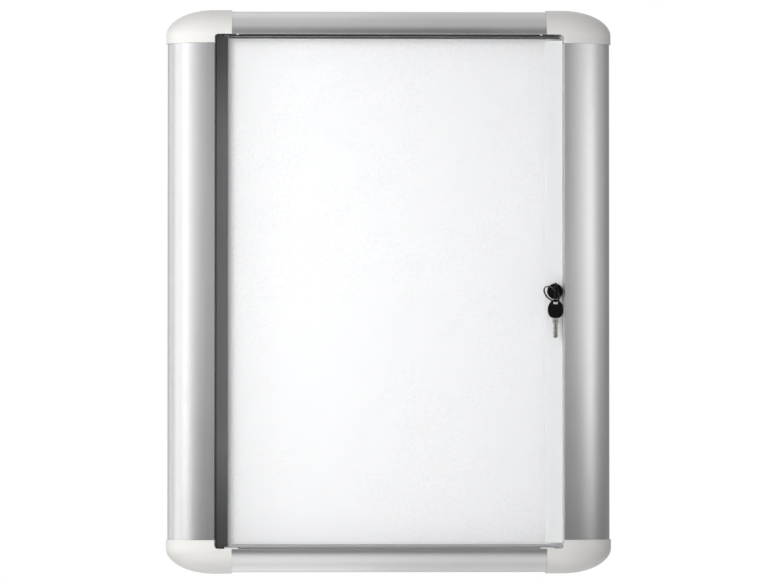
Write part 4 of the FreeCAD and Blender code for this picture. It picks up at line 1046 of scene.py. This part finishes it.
# %% Turn the lock body, its washer and its gasket
AT_THE_LOCK = moved(LOCK_X, 0, 0) @ TO_THE_ROOM
shoulder = oval((9.8, 41.8), (1.2, 1.2), 0, 90, 6)
body_profile = [(5.55, 19.4), (7.3, 19.4), (7.6, 19.7), (7.6, 39.5), (10.85, 39.5), (11.0, 39.65)] + shoulder
body_profile += [(9.35, 43.0), (9.15, 42.93), (6.9, 41.55), (6.7, 41.5), (5.7, 41.5), (5.55, 41.35)]
thread = grow(
    thread_tree, mesh_of("seed"), Radius=7.58, Turns=18.0, Pitch=1.0, Crest=0.40, Finish=black_lacquer
)
lock_mesh = joined((turned(body_profile, 64, closed=True), Matrix()), (thread, moved(0, 0, 20.4)))
settle("turned_lock_body", tidied(lock_mesh, 30), AT_THE_LOCK, "door", black_lacquer, "lock_body")
RINGS = (
    ("turned_gasket", "lock_gasket", "door", black_nylon, 64,
     [(LOCK_HOLE, 39.0), (11.0, 39.0), (11.0, 39.4), (10.9, 39.5), (LOCK_HOLE, 39.5)]),
    ("turned_washer", "lock_washer", "door", zinc_steel, 64,
     [(LOCK_HOLE, 30.2), (9.35, 30.2), (9.5, 30.35), (9.5, 30.85), (9.35, 31.0), (LOCK_HOLE, 31.0)]),
    ("turned_cam_washer", "cam_washer", "lock_barrel", zinc_steel, 48,
     [(1.8, 15.4), (4.85, 15.4), (5.0, 15.55), (5.0, 16.05), (4.85, 16.2), (1.8, 16.2)]),
)
for name, solid, body, material, sides, profile in RINGS:
    settle(name, turned(profile, sides, closed=True), AT_THE_LOCK, body, material, solid)

# %% [markdown]
# ## Stamped parts
# The nut, the cam, the strike plate and the corner brackets are stamped. Each is one plate with its holes,
# its edges slightly rolled over by the press.

# %% Stamp the nut and the cam
def square_hole(x_range, y_range, radius):
    """Square or oblong hole with eased corners."""
    (left, right), (low, high) = x_range, y_range
    return eased([(left, low), (left, high), (right, high), (right, low)], radius)


NUT_ACROSS_FLATS, NUT_THICKNESS, NUT_DEPTH = 19.0, 4.0, 28.2
corner_radius = NUT_ACROSS_FLATS / math.sqrt(3)
hexagon = oval((0, 0), (corner_radius, corner_radius), 30, 330, 5)
nut = plate([eased(hexagon, 0.6), circle(0, 0, LOCK_HOLE)], NUT_THICKNESS, 0.45)
settle("stamped_nut", nut, moved(0, -NUT_DEPTH, 0) @ AT_THE_LOCK, "door", zinc_steel, "lock_nut")
cam_outline = oval((0, 0), (6.5, 6.5), 180, 360, 24) + oval((0, 17.5), (6.5, 6.5), 0, 180, 24)
cam = plate([cam_outline, square_hole((-3.55, 3.55), (-3.55, 3.55), 0.4)], 2.5, 0.25)
settle("stamped_cam", cam, moved(0, -CAM_DEPTH, 0) @ AT_THE_LOCK, "lock_barrel", zinc_steel, "lock_cam")

# %% Stamp the strike plate and the brackets
STRIKE_THICKNESS = 1.5
strike_rim = eased(box(-36, 36, -24.5, -13), 1.2)
strike_holes = [circle(z, -CAM_DEPTH, 1.6, 24) for z in STRIKE_SCREWS]
strike_holes.append(square_hole((-22.7, 22.7), (-20.5, -14.5), 0.8))
strike = plate([strike_rim] + strike_holes, STRIKE_THICKNESS, 0.15)
strike_place = moved(HALF_WIDTH + WALL + STRIKE_THICKNESS / 2, 0, 0) @ TO_THE_LEFT
settle("stamped_strike", strike, strike_place, "case", zinc_steel, "strike_plate")
OVAL_X, OVAL_Z, BRACKET_THICKNESS, PAD = 64.7, 32.7, 2.5, 1.8
bend_start = math.degrees(math.asin(20.75 / OVAL_Z))
bend_end = math.degrees(math.asin(28 / OVAL_Z))
bracket_rim = eased([(-57, 28), (-57, 13), (20, 13), (20, -45), (50, -45), (50, 19.5)], 1.2)
bracket_rim = bracket_rim[:-4] + oval((0, 0), (OVAL_X, OVAL_Z), bend_start, bend_end, 8)
wall_hole = (32, 18.5)
bracket_loops = [bracket_rim, circle(*wall_hole, 2.75, 32)]
bracket_loops += [circle(x, z, 2.1, 24) for x, z in ((35, -32), (-44, 20.5), (11, 20.5))]
BOARD_CORNERS = (("top_right", 1, 1), ("top_left", -1, 1), ("bottom_right", 1, -1), ("bottom_left", -1, -1))
for name, side, rise in BOARD_CORNERS:
    loops = [[(side * (HALF_WIDTH + x), rise * (HALF_HEIGHT + z)) for x, z in loop] for loop in bracket_loops]
    flat_part = plate([loop[::side * rise] for loop in loops], BRACKET_THICKNESS, 0.3)
    pad = turned([(2.75, 0), (7.1, 0), (7.4, 0.3), (7.4, PAD), (2.75, PAD)], 40, closed=True)
    pad_place = moved(side * (HALF_WIDTH + wall_hole[0]), rise * (HALF_HEIGHT + wall_hole[1]), 0)
    whole = joined((flat_part, moved(0, 0, PAD + BRACKET_THICKNESS / 2)), (pad, pad_place))
    for polygon in whole.polygons:
        polygon.use_smooth = abs(polygon.normal.z) < 0.99
    settle("stamped_bracket_" + name, whole, TO_THE_ROOM, "case", zinc_steel, "corner_bracket_" + name)

# %% [markdown]
# ## A recipe for the split ring
# A key ring is two turns of flat wire, with a step where the wire climbs from one layer to the next. A
# spiral is lifted by a smooth step, swept with a rounded flat section, and narrowed at the ends, as if
# ground.

# %% Build the ring recipe
tree, given = new_tree("split_ring", Finish="Material", **floats("Radius", "Width", "Thickness", "Turns"))
coil = even_spiral(tree, given, 80, 0.0)
along = add(tree, "GeometryNodeSplineParameter").outputs["Factor"]
half_gap = maths(tree, "MULTIPLY", given["Thickness"], 0.51)
below = maths(tree, "MULTIPLY", half_gap, -1.0)
lift = mapped(tree, along, (0.474, 0.526), (below, half_gap), interpolation_type="SMOOTHSTEP")
shift = add(tree, "ShaderNodeCombineXYZ", {"Z": lift})
lifted = add(tree, "GeometryNodeSetPosition", {"Geometry": coil, "Offset": shift})
levelled = add(tree, "GeometryNodeSetCurveNormal", {"Curve": lifted}, mode="Z_UP")
nearest = maths(tree, "MINIMUM", along, maths(tree, "SUBTRACT", 1.0, along))
taper = mapped(tree, nearest, (0.0, 0.012), (0.45, 1.0))
flat_wire = add(tree, "GeometryNodeCurvePrimitiveQuadrilateral", {
    "Width": given["Width"], "Height": given["Thickness"],
})
round_wire = add(tree, "GeometryNodeFilletCurve", {"Curve": flat_wire, "Count": 4, "Radius": 0.28}, mode="POLY")
wound = add(tree, "GeometryNodeCurveToMesh", {
    "Curve": levelled, "Profile Curve": round_wire, "Scale": taper, "Fill Caps": True,
})
close_tree(tree, wound, given)
ring_tree = tree
print("recipe:", tree.name, "with", len(tree.nodes), "nodes")

# %% [markdown]
# ## Where the ring and the keys hang
# The ring passes through the hole of the key in the lock, and the spare key hangs from its lowest point. The
# middle of the ring is the middle of its solid's box, and the points where the keys touch it are the pivots
# of the joints.

# %% Place and wind the ring
INSERTED_HOLE = Vector((LOCK_X, -70.5, 0))
LOWEST_WIRE = Vector((231.2942, -54.3773, -14.4957))
low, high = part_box("key_ring")
ring_centre = (Vector(low) + Vector(high)) * 500
to_key, to_spare = INSERTED_HOLE - ring_centre, LOWEST_WIRE - ring_centre
ring_axis = to_key.cross(to_spare).normalized()
gap_side = -(to_key + to_spare).normalized()
ring_side = ring_axis.cross(gap_side)
ring_place = moved(*ring_centre) @ Matrix((gap_side, ring_side, ring_axis)).transposed().to_4x4()
step_to_gap = turn(18, "Z")
ring_mesh = grow(
    ring_tree, mesh_of("seed"), Radius=12.72, Width=1.85, Thickness=0.84, Turns=1.9, Finish=ring_steel
)
settle("split_key_ring", tidied(ring_mesh, 40), ring_place @ step_to_gap, "ring", None, "key_ring")

# %% [markdown]
# ## Keys
# Each key has a blade, cut along one edge and grooved on both faces, and an oval plastic head moulded round
# its shank. Both start as plates. The grooves, with their round run-out, and the shallow panel on each face
# of the head are carved with booleans.

# %% Key helpers
def through(start, middle, end, steps=12):
    """Points of the circle arc from one point through another to a third."""
    (ax, ay), (bx, by), (cx, cy) = start, middle, end
    spread = 2 * (ax * (by - cy) + bx * (cy - ay) + cx * (ay - by))
    a, b, c = ax * ax + ay * ay, bx * bx + by * by, cx * cx + cy * cy
    x = (a * (by - cy) + b * (cy - ay) + c * (ay - by)) / spread
    y = (a * (cx - bx) + b * (ax - cx) + c * (bx - ax)) / spread
    first, last = math.atan2(ay - y, ax - x), math.atan2(cy - y, cx - x)
    while last < first:
        last += 2 * math.pi
    return oval((x, y), (math.dist((x, y), start),) * 2, math.degrees(first), math.degrees(last), steps)


def carved(mesh, *tools):
    """A mesh with the placed tools cut out of it."""
    shape = held("shape", mesh)
    cutter = held("cutter", joined(*tools))
    tuned(shape.modifiers.new("cut", "BOOLEAN"), operation="DIFFERENCE", solver="EXACT", object=cutter)
    mesh = baked(shape)
    bpy.data.objects.remove(cutter)
    return tidied(mesh, 30)


print("key helpers ready")

# %% Cut the blade
BLADE_SIDE, BLADE_END, SHOULDER_SIDE, SHOULDER_TOP, BLADE_TOP = 3.1, 21.0, 4.0, 28.0, 29.5
TIP, CUT_PITCH, SLIT, SLIT_FLOOR, SLIT_END, RUN_OUT = 2.5, 3.0, 0.75, 0.5, 24.6, 1.05
right_rim = [
    (BLADE_SIDE, TIP), (BLADE_SIDE, BLADE_END), (SHOULDER_SIDE, BLADE_END), (SHOULDER_SIDE, BLADE_TOP),
]
rim = right_rim + [(-x, z) for x, z in reversed(right_rim[1:])]
for number in range(4, -1, -1):
    middle, deep = 4.8 + CUT_PITCH * number, 0.8 if number % 2 else 1.45
    rim += [(-BLADE_SIDE, middle + deep), (-BLADE_SIDE + deep, middle), (-BLADE_SIDE, middle - deep)]
rim += [(-BLADE_SIDE, TIP)] + through((-BLADE_SIDE, TIP), (0, 0), (BLADE_SIDE, TIP), 24)[1:-1]
blade_plate = plate([eased(rim, 0.22, 2)], 2.0, 0.12)
slits = [
    ((-SLIT, -1, low), (SLIT, 25, high)) for low, high in ((SLIT_FLOOR, 1.5), (-1.5, -SLIT_FLOOR))
]
blade_mesh = carved(blade_plate, (blocks(*slits), Matrix()))
blade_mesh = carved(blade_mesh, *[
    (turned([(RUN_OUT, low), (RUN_OUT, high)], 28), moved(0, SLIT_END, 0))
    for low, high in ((-2, -0.42), (0.42, 2))
])
print("blade:", [round(v, 2) for v in span(blade_mesh)])

# %% Mould the head
HEAD_TOP, HEAD_THICKNESS, SLOT_TOP, SLOT_HALF, SLOT_HEIGHT = 54.0, 3.2, 52.3, 3.7, 5.0
right_side = through((4.5, SHOULDER_TOP), (9.6, 32.2), (11.2, 39.0), 14)[:-1]
right_side += through((11.2, 39.0), (9.8, 46.5), (5.5, 51.9), 12)[:-1]
crown = through((5.5, 51.9), (0, HEAD_TOP), (-5.5, 51.9), 10)
head_rim = right_side + crown + [(-x, z) for x, z in reversed(right_side)]
head_slot = square_hole((-SLOT_HALF, SLOT_HALF), (SLOT_TOP - SLOT_HEIGHT, SLOT_TOP), 1.2)
head_plate = plate([head_rim, head_slot], HEAD_THICKNESS, 0.6, 3)
panel = plate([oval((0, 38.2), (8.0, 6.6), *ONCE_ROUND)], 1.0, 0.2)
head_mesh = carved(head_plate, (panel, moved(0, 0, 1.8)), (panel.copy(), moved(0, 0, -1.8)))
print("head:", [round(v, 2) for v in span(head_mesh)])

# %% Hang the keys
blade_mesh.materials.append(key_steel)
blade_mesh.materials.append(dull_steel)
# Painted shade with dirt: the groove faces get the darker steel.
for polygon in blade_mesh.polygons:
    x, y, z = polygon.center
    polygon.material_index = int(abs(x) < 1.2 and abs(z) < 0.95 and 0.5 < y < 26)
from_slot = moved(0, 0, -(SLOT_TOP - SLOT_HEIGHT / 2)) @ TO_THE_ROOM
level = turn(90, "Y") @ turn(90, "X")
inserted_place = moved(*INSERTED_HOLE) @ level @ from_slot
spare_place = moved(*(LOWEST_WIRE - Vector((0, 0, 1.25)))) @ turn(16, "Z") @ from_slot
for name, place in (("inserted_key", inserted_place), ("spare_key", spare_place)):
    settle(name + "_cut_blade", blade_mesh.copy(), place, name, None, name + "_blade")
    settle(name + "_moulded_head", head_mesh.copy(), place, name, key_plastic, name + "_head")

# %% [markdown]
# ## Finish the file
# Colours are shown as they are written.

# %% Set the view and close
bpy.data.objects.remove(no_tools)
bpy.context.scene.view_settings.view_transform = "Standard"
